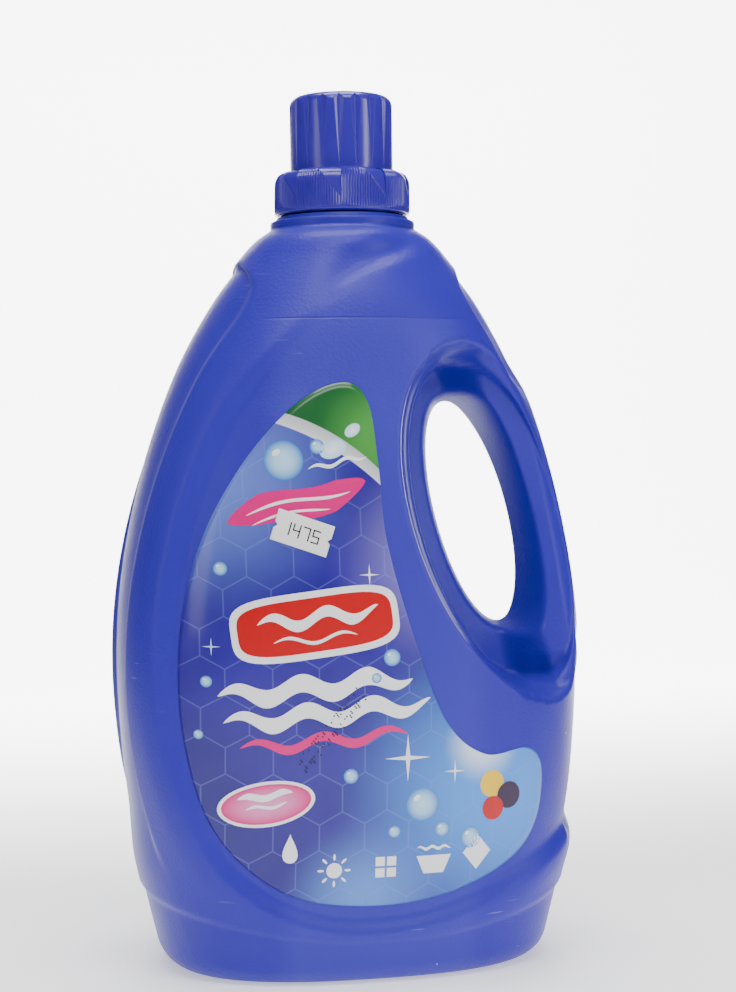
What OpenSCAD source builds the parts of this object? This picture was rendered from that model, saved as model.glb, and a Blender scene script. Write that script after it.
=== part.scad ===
// Liquid soap jug: blown body with a pinched handle, dosing cap, pouring spout and labels.
// The origin is on the surface the jug stands on, under the neck's axis. +Z is up, the handle is at +X
// and the label faces -Y. The mould parts at Y = 0, so the front and the back mirror each other.

/* [Body] */
// Height of the blown body, up to the root of the neck
body_h = 292; // [285:1:310]
// Half of the body's width at its widest
body_half_w = 95; // [88:1:102]
// Half of the body's depth at its deepest
body_half_d = 74; // [68:1:78]
// Wall of the blown body
wall = 1.2; // [0.9:0.1:1.6]
// Radius of the rounded edge under the body
foot_r = 9; // [6:0.5:12]
// Width of the flat ring that the jug stands on
foot_ring = 7; // [5:0.5:9]
// Rise of the base inside the ring
push_up = 4; // [2:0.5:7]

/* [Relief] */
// Step of the heel, under the belt
heel_step = 1.1; // [0.6:0.1:1.6]
// Height of the heel's edge at the sides
heel_z = 31; // [28:0.5:34]
// How far the heel's edge dips at the front and the back
heel_dip = 13; // [8:1:15]
// Depth of the label panel under the belt
panel_sink = 2.2; // [1:0.1:2.8]
// Depth of the shoulder under the panel's top edge, at the right
shoulder_sink = 1.4; // [0.6:0.1:1.8]
// Depth of the hollow down each flank
flank_sink = 1.8; // [1:0.1:2.4]

/* [Handle] */
// Distance of the finger hole's middle below the neck's root
grip_down = 114; // [108:1:120]
// Half of the finger hole's height
grip_half_h = 45; // [40:1:48]
// Half of the finger hole's width
grip_half_w = 15.4; // [12:0.2:17]
// Distance of the hole's edge from the body's widest side, at the hole's middle
bar_w = 27.3; // [25.5:0.1:29.5]
// Lean of the hole, as a sideways step for each step up
grip_lean = 0.235; // [0.2:0.005:0.27]
// Half of the handle bar's depth
bar_half_d = 16.5; // [14:0.5:19]
// Half of the pinched web's thickness beside the hole
web_half_t = 8; // [6:0.5:10]
// Thickening of the web for each millimetre from the hole
web_rise = 0.3; // [0.1:0.05:0.4]
// Rounding of the bar's section
bar_round = 10; // [8:0.5:11]
// Thickening of the bar towards its ends
bar_flare = 7; // [4:0.5:9]

/* [Neck] */
// Outer radius of the neck
neck_r = 22; // [21.5:0.1:22.4]
// Radius of the neck's bore
neck_bore_r = 19.5; // [19:0.1:19.8]
// Height of the neck above its root
neck_h = 18; // [16:0.5:20]
// Radius of the wide ring at the neck's root
root_ring_r = 29; // [28:0.1:30]
// Height of the wide ring
root_ring_h = 3.3; // [2.5:0.1:3.6]
// Radius of the transfer ring above it
transfer_ring_r = 26.6; // [25.5:0.1:27.5]
// Height of the transfer ring
transfer_ring_h = 1.7; // [1.2:0.1:1.9]

/* [Spout] */
// Wall of the spout and its plug
spout_wall = 1.2; // [0.9:0.1:1.4]
// Depth of the plug in the neck
plug_h = 9; // [7:0.5:11]
// Thickness of the flange on the neck's rim
flange_t = 1.4; // [1.1:0.1:2]
// Outer radius of the pouring tube
spout_r = 12.5; // [11:0.5:14]
// Height of the pouring lip above the flange
lip_h = 20; // [16:0.5:23]
// Slant of the lip
lip_slant = 34; // [25:1:36]
// Width of the drain slot behind the tube
drain_w = 5; // [4:0.5:7]

/* [Cap] */
// Outer radius of the dosing cup
cup_r = 20.7; // [20.5:0.1:21.3]
// Wall of the dosing cup
cup_wall = 1.5; // [1.2:0.1:1.7]
// Rounding of the cup's closed end
cup_round = 4; // [3:0.5:5]
// Height of the cup above the skirt
cup_h = 30.5; // [28:0.5:34]
// Number of flutes round the cup
flutes = 19; // [16:1:22]
// Depth of a flute at its top
flute_depth = 1.0; // [0.6:0.1:1.1]
// Width of a flute at its top
flute_w = 3.4; // [2.4:0.2:4]
// Outer radius of the skirt
skirt_r = 27.3; // [27:0.1:28]
// Height of the skirt
skirt_h = 17.3; // [16:0.1:18]
// Radius of the skirt's bore, outside the neck's thread
skirt_bore_r = 24.6; // [24.2:0.1:24.8]
// Rounding of the skirt's shoulder
skirt_round = 4.5; // [3.5:0.5:5]
// Gap between the transfer ring and the skirt
skirt_gap = 0.7; // [0.6:0.1:1.4]
// Number of saw teeth round the skirt
teeth = 9; // [7:1:11]
// Height of a facet's lower tip above the skirt's edge
tooth_low = 4.5; // [3:0.5:6]
// Depth of a tooth's smooth facet at its step
tooth_depth = 1.5; // [0.8:0.1:1.6]
// Thickness of the seal ring
seal_t = 1.2; // [0.9:0.1:1.6]

/* [Labels] */
// Thickness of the front label
label_t = 0.25; // [0.2:0.05:0.4]
// Length of the price sticker
sticker_w = 22; // [18:0.5:26]
// Height of the price sticker
sticker_h = 12; // [10:0.5:14]
// Thickness of the price sticker
sticker_t = 0.2; // [0.15:0.05:0.3]
// Place of the sticker's middle, sideways from the neck's axis
sticker_x = -31; // [-34:1:-28]
// Height of the sticker's middle
sticker_z = 173; // [165:1:180]
// Slant of the sticker, clockwise
sticker_slant = 19; // [10:1:25]

/* [Hidden] */
$fn = 96;
body_blue = [0.20, 0.24, 0.62];
cap_blue = [0.14, 0.18, 0.60];
label_violet = [0.33, 0.33, 0.72];
paper_white = [0.95, 0.95, 0.93];
spout_white = [0.90, 0.91, 0.93];
seal_grey = [0.75, 0.76, 0.78];

// Clearances
cap_play = 0.4;       // between pieces that turn on each other
seat_gap = 0.05;      // between the seal ring and what it lies on
glue_gap = 0.04;      // under the label and under the sticker, so that they only just touch
cut_lap = 0.1;        // by which the shoulder's cut runs into the panel's
eps = 0.01;

// Small edges and places that no other piece depends on
ring_edge = 0.5;      // bevel on the neck's rings and rim
plug_lead = 0.8;      // lead on the plug's lower edge
lip_round = 1.2;      // rounding of the skirt's lower edge
tooth_phase = 17.5;   // angle of the first tooth's step
facet_turn = -6.4;    // turn of a facet away from its step
flank_step = 0.9;     // width of the flank hollow's edge
mouth_r = 18.5;       // opening of the blown body under the neck's bore

// Heights and places that several pieces share
grip_z = body_h - grip_down;
grip_x = body_half_w - bar_w - grip_half_w;
neck_z = body_h - wall / 2;
rim_z = body_h + neck_h;
flange_z = rim_z + flange_t;
skirt_z = body_h + root_ring_h + transfer_ring_h + skirt_gap;
skirt_top = skirt_z + skirt_h;
cup_top = skirt_top + cup_h;

// Sections of the body: share of the height, of the half width, of the half depth, and the exponent
// of the section's superellipse, which falls to 2, a circle, at the neck.
sections = [
    [0.00, 0.815, 0.76, 2.5], [0.10, 0.888, 0.865, 2.5], [0.205, 0.953, 0.945, 2.5],
    [0.31, 0.988, 0.985, 2.5], [0.42, 1.0, 1.0, 2.5], [0.52, 0.980, 0.985, 2.45],
    [0.62, 0.926, 0.94, 2.4], [0.72, 0.842, 0.86, 2.3], [0.82, 0.722, 0.755, 2.2],
    [0.90, 0.583, 0.645, 2.1], [0.955, 0.455, 0.55, 2.0], [0.985, 0.372, 0.49, 2.0],
    [1.00, root_ring_r / body_half_w, root_ring_r / body_half_d, 2.0]];

// Half width of the flank hollow at a share of the body's height
flank_widths = [[0.00, 34], [0.13, 34], [0.20, 28], [0.31, 21], [0.42, 20], [0.63, 23],
                [0.80, 26], [0.88, 28], [0.93, 20], [1.00, 16]];
flank_low = 0.13;
flank_high = 0.94;

// Corners of the label panel's sweeping edge, as shares of the half width and of the height
panel_sweep = [[0.24, 0.965], [-0.10, 0.915], [-0.40, 0.822], [-0.64, 0.715], [-0.80, 0.575],
               [-0.86, 0.43], [-0.81, 0.29], [-0.64, 0.163], [-0.30, 0.093], [0.10, 0.084],
               [0.50, 0.120], [0.95, 0.190]];

// Corners of the label, in the same shares
label_sweep = [[-0.12, 0.790], [-0.01, 0.762], [0.02, 0.68], [0.04, 0.58], [0.12, 0.455],
               [0.25, 0.345], [0.42, 0.300], [0.62, 0.303], [0.70, 0.275], [0.68, 0.205],
               [0.55, 0.155], [0.24, 0.116], [-0.10, 0.108], [-0.42, 0.130], [-0.66, 0.205],
               [-0.78, 0.32], [-0.80, 0.45], [-0.71, 0.575], [-0.52, 0.68], [-0.27, 0.76]];

// Ovals round the finger hole: half width and half height beyond the hole's own, and their middle's
// shift. The surface falls from the outer oval to the crease, and is a flat web from there to the hole.
crease = [13.6, 17, 2.8, -4];
hollow_edge = [30.6, 25, 3.6, -2.5];
dip_fade = 69;        // how far above the heel its dip has faded out
under_grip = 36;      // how far the hollow's closer rows reach below the hole
over_grip = 26;       // and above it
no_oval = [0, 0, 0, 0];

function lerp(a, b, t) = a + (b - a) * t;
function clamp(v, low, high) = min(max(v, low), high);
function smooth(t) = let (c = clamp(t, 0, 1)) c * c * (3 - 2 * c);

// Smooth curve through a table's rows, where k is the column that is read
function slope(table, i, k) =
    let (a = max(i - 1, 0), b = min(i + 1, len(table) - 1))
    (table[b][k] - table[a][k]) / (table[b][0] - table[a][0]);
function row_below(table, u, i = 0) =
    i < len(table) - 2 && table[i + 1][0] < u ? row_below(table, u, i + 1) : i;
function curve(table, u, k) =
    let (v = clamp(u, 0, 1), i = row_below(table, v), a = table[i], b = table[i + 1],
         h = b[0] - a[0], t = (v - a[0]) / h)
    (2 * t ^ 3 - 3 * t ^ 2 + 1) * a[k] + (t ^ 3 - 2 * t ^ 2 + t) * h * slope(table, i, k)
    + (3 * t ^ 2 - 2 * t ^ 3) * b[k] + (t ^ 3 - t ^ 2) * h * slope(table, i + 1, k);

function half_w(z) = body_half_w * curve(sections, z / body_h, 1);
function half_d(z) = body_half_d * curve(sections, z / body_h, 2);
function power(z) = curve(sections, z / body_h, 3);

// Half depth of the plain body, without handle or relief
function plain_depth(x, z) =
    let (n = power(z), q = 1 - abs(x / half_w(z)) ^ n) half_d(z) * max(q, 0) ^ (1 / n);

// The leaning ovals round the finger hole
function grip_mid(z) = grip_x - grip_lean * (z - grip_z);
function oval_w(o) = grip_half_w + o[0];
function oval_h(o) = grip_half_h + o[1];
function oval_uv(o, x, z) =
    [(x - grip_mid(z) - o[2]) / oval_w(o), (z - grip_z - o[3]) / oval_h(o)];
function oval_reach(o, x, z) = norm(oval_uv(o, x, z)) - 1;
// Distance to an oval's edge, near enough close to it
function oval_gap(o, x, z) =
    let (p = oval_uv(o, x, z), r = max(norm(p), 0.05),
         g = norm([p[0] / oval_w(o), p[1] / oval_h(o) - p[0] * grip_lean / oval_w(o)]) / r)
    (r - 1) / g;
function oval_side(o, z) =
    let (t = (z - grip_z - o[3]) / oval_h(o)) oval_w(o) * sqrt(max(0, 1 - t * t));

// Rounded edge: 0 at the edge and 1 from one radius inwards
function rounded(t) = let (c = clamp(t, 0, 1)) sqrt(c * (2 - c));

// Half depth of the handle bar and of the web round the hole
function grip_depth(x, z) =
    let (gap = max(oval_gap(no_oval, x, z), 0),
         to_side = max(half_w(z) - x, 0),
         on_bar = smooth((x - grip_mid(z)) / grip_half_w + 0.2),
         edge_r = lerp(web_half_t, bar_round, on_bar),
         flare = bar_flare * min(1.6, ((z - grip_z) / grip_half_h) ^ 2),
         deep = lerp(web_half_t + web_rise * min(gap, 20), bar_half_d + flare, on_bar))
    deep * rounded(gap / edge_r) * rounded(to_side / bar_round);

// Share of the handle's own form: 0 outside the hollow and 1 inside the crease. Between the two, the
// surface drops steeply, runs on as a lip and drops again.
function grip_share(x, z) =
    let (inner = oval_reach(crease, x, z), outer = oval_reach(hollow_edge, x, z),
         t = inner <= 0 ? 1 : outer >= 0 ? 0 : outer / (outer - inner))
    0.5 * smooth(3 * t) + 0.16 * smooth(3 * t - 1) + 0.34 * smooth(3 * t - 2);

function depth(x, z) =
    let (m = grip_share(x, z), plain = plain_depth(x, z))
    m == 0 ? plain : lerp(plain, min(grip_depth(x, z), plain), m);
// Depth of the hollow: the least depth within reach of a point, which leaves a thicker wall on the
// steep sides of the handle's hollow
function hollow_depth(x, z, skin) =
    let (steep = oval_reach(hollow_edge, x, z) < 0.1, reach = skin * (steep ? 3 : 1.2),
         to_side = min(reach, 0.4 * (half_w(z) - abs(x))))
    min([depth(x, z) - skin,
         for (a = [0:steep ? 45 : 90:315]) depth(x + to_side * cos(a), z + reach * sin(a))]);

// Fall of the sunk label panel and of the shoulder above it, both fading to nothing
function panel_fall(x, z) = panel_sink * smooth((0.91 * body_h - z) / (0.15 * body_h));
function shoulder_fall(x, z) =
    let (edge_z = lerp(panel_sweep[1][1], panel_sweep[0][1], (x / body_half_w + 0.1) / 0.34) * body_h)
    shoulder_sink * smooth((x / body_half_w + 0.26) / 0.2) * (1 - smooth((z - edge_z) / 14));

// Mesh of the body. A row is one loop of columns. Front columns run from the left side to the seam
// above or below the hole, and on to the right side; back columns mirror them. In rows that the hole
// crosses, the two seam columns become the hole's left and right edges, and the loop is two loops.
// skin is the distance inwards from the outer surface: 0 outside, the wall for the hollow.
function hole(skin) = [skin, skin, 0, 0];
function in_hole(z, skin) = abs(z - grip_z) < grip_half_h + skin - eps;
function at_tip(z, skin) = abs(abs(z - grip_z) - grip_half_h - skin) <= eps;
function seam_x(z) =
    let (low = grip_z - grip_half_h, h = clamp(z, low, grip_z + grip_half_h))
    (grip_mid(h) / half_w(h) + 0.1 * smooth((low - z) / 40)) * half_w(z);
// A column that follows an oval's left side, and runs on as a share of the width past its ends
function guide_x(o, z) =
    let (mid = grip_z + o[3], reach = 0.92 * oval_h(o), h = clamp(z, mid - reach, mid + reach))
    (grip_mid(h) + o[2] - oval_side(o, h)) / half_w(h) * half_w(z);
function flank_half(z) = curve(flank_widths, z / body_h, 1);
// The flank hollow's depth: it fades out at the foot, and on the right along the handle bar
function flank_fall(z, right) =
    flank_sink * smooth((z / body_h - flank_low) / 0.1) * (z < flank_high * body_h ? 1 : 0)
    * (right ? smooth((abs(z - grip_z) - grip_half_h) / 18) : 1);
// Where the plain section is y deep, as x on the right side
function side_x(y, z) =
    let (n = power(z)) half_w(z) * max(0, 1 - (y / half_d(z)) ^ n) ^ (1 / n);
function turn_of(x, z) = acos(clamp(-x / half_w(z), -1, 1));
function between(a, b, k, n, z) = -half_w(z) * cos(lerp(turn_of(a, z), turn_of(b, z), k / n));

// Front columns of a row as [x, 1 on a flank's floor]. fine counts the steps of the flank's floor, the
// front, the hollow's wall, the web and the handle bar.
function columns(z, fine, skin) =
    let (y = flank_half(z) + 2 * skin, rim = side_x(y + flank_step, z),
         side = oval_side(hole(skin), z), open = in_hole(z, skin),
         edge = open ? grip_mid(z) - side : seam_x(z), bar = open ? grip_mid(z) + side : seam_x(z),
         wall_out = guide_x(hollow_edge, z), wall_in = guide_x(crease, z))
    [for (k = [0:fine[0]]) [-side_x(y * k / fine[0], z), 1],
     for (k = [0:fine[1] - 1]) [between(-rim, wall_out, k, fine[1], z), 0],
     for (k = [0:fine[2] - 1]) [lerp(wall_out, wall_in, k / fine[2]), 0],
     for (k = [0:fine[3] - 1]) [edge - (edge - wall_in) * (1 - k / fine[3]) ^ 1.7, 0],
     [edge, 0],
     for (k = [1:fine[4]]) [lerp(bar, rim, 1 - cos(90 * k / fine[4])), 0],
     for (k = [fine[0]:-1:0]) [side_x(y * k / fine[0], z), 1]];
function seam_column(fine) = fine[0] + 1 + fine[1] + fine[2] + fine[3];
function last_column(fine) = seam_column(fine) + fine[4] + fine[0] + 1;

// One row as a full loop of points. A row is [height, inset, dip]: inset draws it in, and dip lowers
// it at the front and the back.
function loop_points(row, fine, skin, relief) =
    let (z = row[0], inset = row[1], dip = row[2], w = half_w(z), cols = columns(z, fine, skin),
         seam = seam_column(fine), last = last_column(fine),
         bar = grip_mid(z) + oval_side(hole(skin), z),
         front = [for (c = cols)
             let (x = c[0], h = z - dip * (1 - (x / w) ^ 2),
                  d = skin == 0 ? depth(x, h) : hollow_depth(x, h, skin),
                  fall = relief == 1 ? panel_fall(x, h) : relief == 2 ? shoulder_fall(x, h) : 0,
                  side = inset - (1 - c[1]) * flank_fall(z, x > 0) * (x / w) ^ 4)
             [x * (w - side - skin) / w,
              max(0.2, d * (1 - inset / half_d(z)) - fall * smooth((d - 8) / 14)), h]])
    [for (i = [0:2 * last - 1])
        let (j = i <= last ? i : 2 * last - i, p = front[j])
        in_hole(z, skin) && i == 2 * last - seam ? [bar, 0, z]
        : in_hole(z, skin) && i == seam ? [cols[seam][0], 0, z]
        : at_tip(z, skin) && j == seam ? [cols[seam][0], 0, z]
        : [p[0], j == 0 || j == last ? 0 : i <= last ? -p[1] : p[1], p[2]]];

// Rows from the base to the shoulder: counts are the rows below the hollow, beside its lower end, in
// the hole, beside its upper end and above it
function heel_dip_at(z) =
    let (end = heel_z + dip_fade)
    heel_dip * smooth((z - foot_r) / (heel_z - foot_r)) * smooth((end - z) / dip_fade);
function spread(a, b, n, bend = 1) = [for (k = [0:n - 1]) lerp(a, b, (k / n) ^ bend)];
function body_rows(counts, skin) =
    let (ring = foot_r + foot_ring + heel_step - 2 * skin, top = body_h - skin,
         low = grip_z - grip_half_h - skin, high = grip_z + grip_half_h + skin)
    [[push_up + skin, ring + push_up, 0], [skin, ring, 0],
     for (a = [0:30:90]) [foot_r - (foot_r - skin) * cos(a),
                          foot_r - (foot_r - skin) * sin(a) - skin + heel_step, 0],
     for (z = [lerp(foot_r, heel_z, 0.5), heel_z - 0.8]) [z, heel_step, heel_dip_at(z)],
     for (z = concat(spread(heel_z + 0.6, low - under_grip, counts[0]),
                     spread(low - under_grip, low, counts[1], 0.8)))
         [z, 0, heel_dip_at(z)],
     for (k = [0:counts[2]]) [grip_z - (grip_half_h + skin) * cos(180 * k / counts[2]), 0, 0],
     for (k = [1:counts[3]]) [lerp(high, high + over_grip, (k / counts[3]) ^ 1.25), 0, 0],
     for (z = spread(high + over_grip, flank_high * body_h, counts[4])) if (z > high + over_grip) [z, 0, 0],
     for (z = [flank_high * body_h - 0.5, flank_high * body_h + 0.5]) [z, 0, 0],
     for (k = [1:counts[5]]) [lerp(flank_high * body_h, top, sin(90 * k / counts[5])), 0, 0]];

// Faces between the rows' loops, with the hole's two edges kept apart
function corner(z, i, k, fine, skin, on_body) =
    let (count = 2 * last_column(fine), seam = seam_column(fine), c = k % count, back = count - seam)
    i * count + (c == back && at_tip(z, skin) ? seam
                 : (c == seam || c == back) && in_hole(z, skin) ? (on_body ? seam : back) : c);
function skin_faces(rows, fine, skin) =
    let (count = 2 * last_column(fine), seam = seam_column(fine))
    [for (i = [0:len(rows) - 2], k = [0:count - 1])
        let (on_body = k < seam || k >= count - seam, z = rows[i][0], up = rows[i + 1][0],
             a = corner(z, i, k, fine, skin, on_body),
             b = corner(z, i, k + 1, fine, skin, on_body),
             c = corner(up, i + 1, k + 1, fine, skin, on_body),
             d = corner(up, i + 1, k, fine, skin, on_body))
        each k < count / 2 ? [if (a != b) [a, d, b], if (c != d) [b, d, c]]
                           : [if (c != d) [a, d, c], if (a != b) [a, c, b]]];

// The closed form between a skin and the base. relief 1 has the label panel's fall everywhere, and
// relief 2 the shoulder's.
module skin_form(fine, counts, skin, relief) {
    rows = concat(body_rows(counts, skin),
        skin == 0 ? [] : [[body_h - skin, root_ring_r - mouth_r - skin, 0],
                          [body_h + 1, root_ring_r - mouth_r - skin, 0]]);
    count = 2 * last_column(fine);
    top = (len(rows) - 1) * count;
    polyhedron([for (r = rows) each loop_points(r, fine, skin, relief)],
        concat(skin_faces(rows, fine, skin),
               [[for (k = [0:count - 1]) k], [for (k = [count - 1:-1:0]) top + k]]),
        convexity = 8);
}
outer_steps = [1, 6, 3, 3, 6];
outer_rows = [3, 7, 12, 6, 3, 4];
hollow_steps = [1, 6, 1, 2, 5];
hollow_rows = [3, 5, 8, 4, 1, 3];

// A smooth outline through corners given as shares of the half width and the height
function sweep_point(table, s) =
    let (n = len(table), i = min(floor(s), n - 2), t = s - i,
         a = table[max(i - 1, 0)], b = table[i], c = table[i + 1], d = table[min(i + 2, n - 1)])
    0.5 * (2 * b + (c - a) * t + (2 * a - 5 * b + 4 * c - d) * t ^ 2
           + (3 * b - a - 3 * c + d) * t ^ 3);
function sweep(table, steps) =
    [for (k = [0:(len(table) - 1) * steps])
        let (p = sweep_point(table, k / steps)) [p[0] * body_half_w, p[1] * body_h]];

// What stands inside an outline in the XZ plane, through the whole depth
module through_y(outline, grow = 0) {
    rotate([90, 0, 0]) linear_extrude(4 * body_half_d, center = true)
        offset(delta = grow) polygon(outline);
}
panel_edge = sweep(panel_sweep, 3);
panel_outline = concat(panel_edge, [[2 * body_half_w, panel_edge[len(panel_edge) - 1][1]],
                                    [2 * body_half_w, panel_edge[0][1]]]);
// The shoulder above the panel's top edge, where it lies lower than the panel
shoulder_outline = concat([for (p = panel_edge) if (p[0] > -0.28 * body_half_w && p[1] > body_h / 2)
                              p - [0, cut_lap]],
                          [[-0.28 * body_half_w, body_h], [0.24 * body_half_w, body_h]]);

// The body with its label panels and its shoulder sunk, or its hollow, which follows them inside
module body_form(fine, counts, skin = 0) {
    difference() {
        skin_form(fine, counts, skin, 0);
        difference() {
            through_y(panel_outline, 2 * skin);
            skin_form(fine, counts, skin, 1);
        }
        difference() {
            through_y(shoulder_outline, 2 * skin);
            skin_form(fine, counts, skin, 2);
        }
    }
}

module bottle() {
    color(body_blue) union() {
        // The blown body, brought to its overall size
        resize([2 * body_half_w, 0, body_h]) difference() {
            body_form(outer_steps, outer_rows);
            body_form(hollow_steps, hollow_rows, wall);
        }
        neck();
    }
}

// The neck finish above the body, with its root ring and transfer ring
module neck() {
    ring_top = body_h + root_ring_h;
    bead_top = ring_top + transfer_ring_h;
    rotate_extrude() polygon([
        [neck_bore_r, neck_z], [root_ring_r - ring_edge, neck_z], [root_ring_r, body_h + ring_edge],
        [root_ring_r, ring_top - ring_edge], [root_ring_r - ring_edge, ring_top],
        [transfer_ring_r, ring_top], [transfer_ring_r, bead_top - ring_edge],
        [transfer_ring_r - ring_edge, bead_top], [neck_r, bead_top],
        [neck_r, rim_z - ring_edge], [neck_r - ring_edge, rim_z], [neck_bore_r, rim_z]]);
}

// A thin layer over the front of the sunk panel, between two distances from it. It has the body's own
// facets, so that a label lies on it face to face.
module panel_layer(low, thick) {
    rows = [for (r = body_rows(outer_rows, 0)) if (r[0] > heel_z && r[0] < 0.86 * body_h) r];
    first = outer_steps[0] + 1;
    count = seam_column(outer_steps) - first + 1;
    loops = [for (r = rows) loop_points(r, outer_steps, 0, 1)];
    points = [for (out = [low, low + thick], l = loops, k = [0:count - 1])
        l[first + k] - [0, out, 0]];
    n = len(rows);
    function id(side, i, k) = (side * n + i) * count + k;
    skin = [for (side = [0, 1], i = [0:n - 2], k = [0:count - 2])
        let (a = id(side, i, k), b = id(side, i, k + 1), c = id(side, i + 1, k + 1),
             d = id(side, i + 1, k))
        each (side == 1 ? [[a, d, b], [b, d, c]] : [[a, b, d], [b, c, d]])];
    ends = [for (k = [0:count - 2])
        each [[id(0, 0, k), id(1, 0, k), id(0, 0, k + 1)], [id(1, 0, k), id(1, 0, k + 1), id(0, 0, k + 1)],
              [id(0, n - 1, k), id(0, n - 1, k + 1), id(1, n - 1, k)],
              [id(1, n - 1, k), id(0, n - 1, k + 1), id(1, n - 1, k + 1)]]];
    sides = [for (i = [0:n - 2])
        each [[id(0, i, 0), id(0, i + 1, 0), id(1, i, 0)], [id(1, i, 0), id(0, i + 1, 0), id(1, i + 1, 0)],
              [id(0, i, count - 1), id(1, i, count - 1), id(0, i + 1, count - 1)],
              [id(1, i, count - 1), id(1, i + 1, count - 1), id(0, i + 1, count - 1)]]];
    polyhedron(points, concat(skin, ends, sides), convexity = 4);
}

// The printed label, glued in the front panel
module front_label() {
    color(label_violet) intersection() {
        panel_layer(glue_gap, label_t);
        through_y(sweep(concat(label_sweep, [label_sweep[0]]), 3));
    }
}

// The price sticker on the label, with its notched ends, stuck on at a slant
module price_sticker() {
    notch = sticker_h / 5;
    half = [sticker_w / 2, sticker_h / 2];
    color(paper_white) intersection() {
        panel_layer(2 * glue_gap + label_t, sticker_t);
        translate([sticker_x, 0, sticker_z]) rotate([0, sticker_slant, 0])
            through_y([-half, [half[0], -half[1]], [half[0], -notch / 2], [half[0] - notch / 2, 0],
                       [half[0], notch / 2], half, [-half[0], half[1]], [-half[0], notch / 2],
                       [-half[0] + notch / 2, 0], [-half[0], -notch / 2]]);
    }
}

// The pouring insert in the neck: plug, flange, drain floor and a slanted tube that pours to -X
module pour_spout() {
    floor_z = rim_z - plug_h;
    lip_z = flange_z + lip_h;
    color(spout_white) difference() {
        union() {
            rotate_extrude() polygon([
                [spout_r - spout_wall, floor_z], [neck_bore_r - plug_lead, floor_z],
                [neck_bore_r, floor_z + plug_lead], [neck_bore_r, rim_z], [neck_r - ring_edge, rim_z],
                [neck_r - ring_edge, flange_z], [neck_bore_r - spout_wall, flange_z],
                [neck_bore_r - spout_wall, floor_z + spout_wall],
                [spout_r - spout_wall, floor_z + spout_wall]]);
            difference() {
                translate([0, 0, floor_z]) cylinder(h = lip_z - floor_z, r = spout_r);
                // The slanted lip, high at -X
                translate([-spout_r, 0, lip_z]) rotate([0, lip_slant, 0])
                    translate([-spout_r, -2 * spout_r, 0]) cube([6 * spout_r, 4 * spout_r, 2 * lip_h]);
            }
        }
        translate([0, 0, floor_z - 1])
            cylinder(h = lip_z - floor_z + 2, r = spout_r - spout_wall);
        // The slot that drains the floor back into the tube
        translate([0, -drain_w / 2, floor_z + spout_wall])
            cube([spout_r + 1, drain_w, lip_h + plug_h]);
    }
}

// The soft ring between the spout's flange and the cap
module seal_ring() {
    color(seal_grey) translate([0, 0, flange_z + seat_gap]) difference() {
        cylinder(h = seal_t, r = skirt_bore_r - cap_play);
        translate([0, 0, -1]) cylinder(h = seal_t + 2, r = cup_r - cup_wall);
    }
}

// Points of a quarter arc about a middle, from one angle to another
function arc(middle, r, from, to, n = 6) =
    [for (k = [0:n]) middle + r * [cos(lerp(from, to, k / n)), sin(lerp(from, to, k / n))]];

// The closure: a dosing cup over a skirt, as one moulding, hollow from below
module cap() {
    bore = cup_r - cup_wall;
    ceiling = flange_z + seal_t + 2 * seat_gap;
    color(cap_blue) difference() {
        rotate_extrude() polygon(concat(
            [[skirt_bore_r, skirt_z]],
            arc([skirt_r - lip_round, skirt_z + lip_round], lip_round, -90, 0, 4),
            arc([skirt_r - skirt_round, skirt_top - skirt_round], skirt_round, 0, 90),
            [[cup_r + 0.2, skirt_top]],
            arc([cup_r - cup_round - 0.3, cup_top - cup_round], cup_round, 0, 90),
            [[0, cup_top], [0, cup_top - cup_wall]],
            arc([bore - cup_round, cup_top - cup_wall - cup_round], cup_round, 90, 0),
            [[bore, ceiling], [skirt_bore_r, ceiling]]));
        for (i = [0:flutes - 1]) rotate(360 / flutes * (i + 0.5)) flute();
        for (i = [0:teeth - 1]) rotate(tooth_phase + 360 / teeth * i) tooth_facet();
    }
}

// Cutter for one flute: a flat V that deepens upwards
module flute() {
    long = cup_h - 1;
    side = 3;
    translate([cup_r + 0.2, 0, skirt_top + 1]) rotate([0, -atan((flute_depth + 0.5) / long), 0])
        linear_extrude(long + 4)
            polygon([[0, 0], [side, side * flute_w / 2 / flute_depth],
                     [side, -side * flute_w / 2 / flute_depth]]);
}

// Cutter for one tooth's smooth facet, which ends at a radial step at angle 0
module tooth_facet() {
    long = 0.65 * 360 / teeth;
    low = skirt_z + tooth_low;
    intersection() {
        translate([skirt_r, -0.5, low])
            rotate([0, 0, facet_turn])
                rotate([0, -atan(tooth_depth / (skirt_top - low - 1.5)), 0])
                    translate([0, -skirt_r, -2]) cube([skirt_r, 2 * skirt_r, 2 * skirt_h]);
        translate([skirt_r / 2, -skirt_r * sin(long), low - 1])
            cube([skirt_r, skirt_r * sin(long), skirt_h + 2]);
    }
}

bottle();
front_label();
price_sticker();
pour_spout();
seal_ring();
cap();
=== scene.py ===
"""A jug of liquid laundry soap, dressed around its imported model: blown blue bottle with a pinched
handle, printed film label, paper price sticker, pouring spout, sealing ring and dosing cap."""

import math

import bpy
import numpy as np
from mathutils import Matrix, Vector


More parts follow.
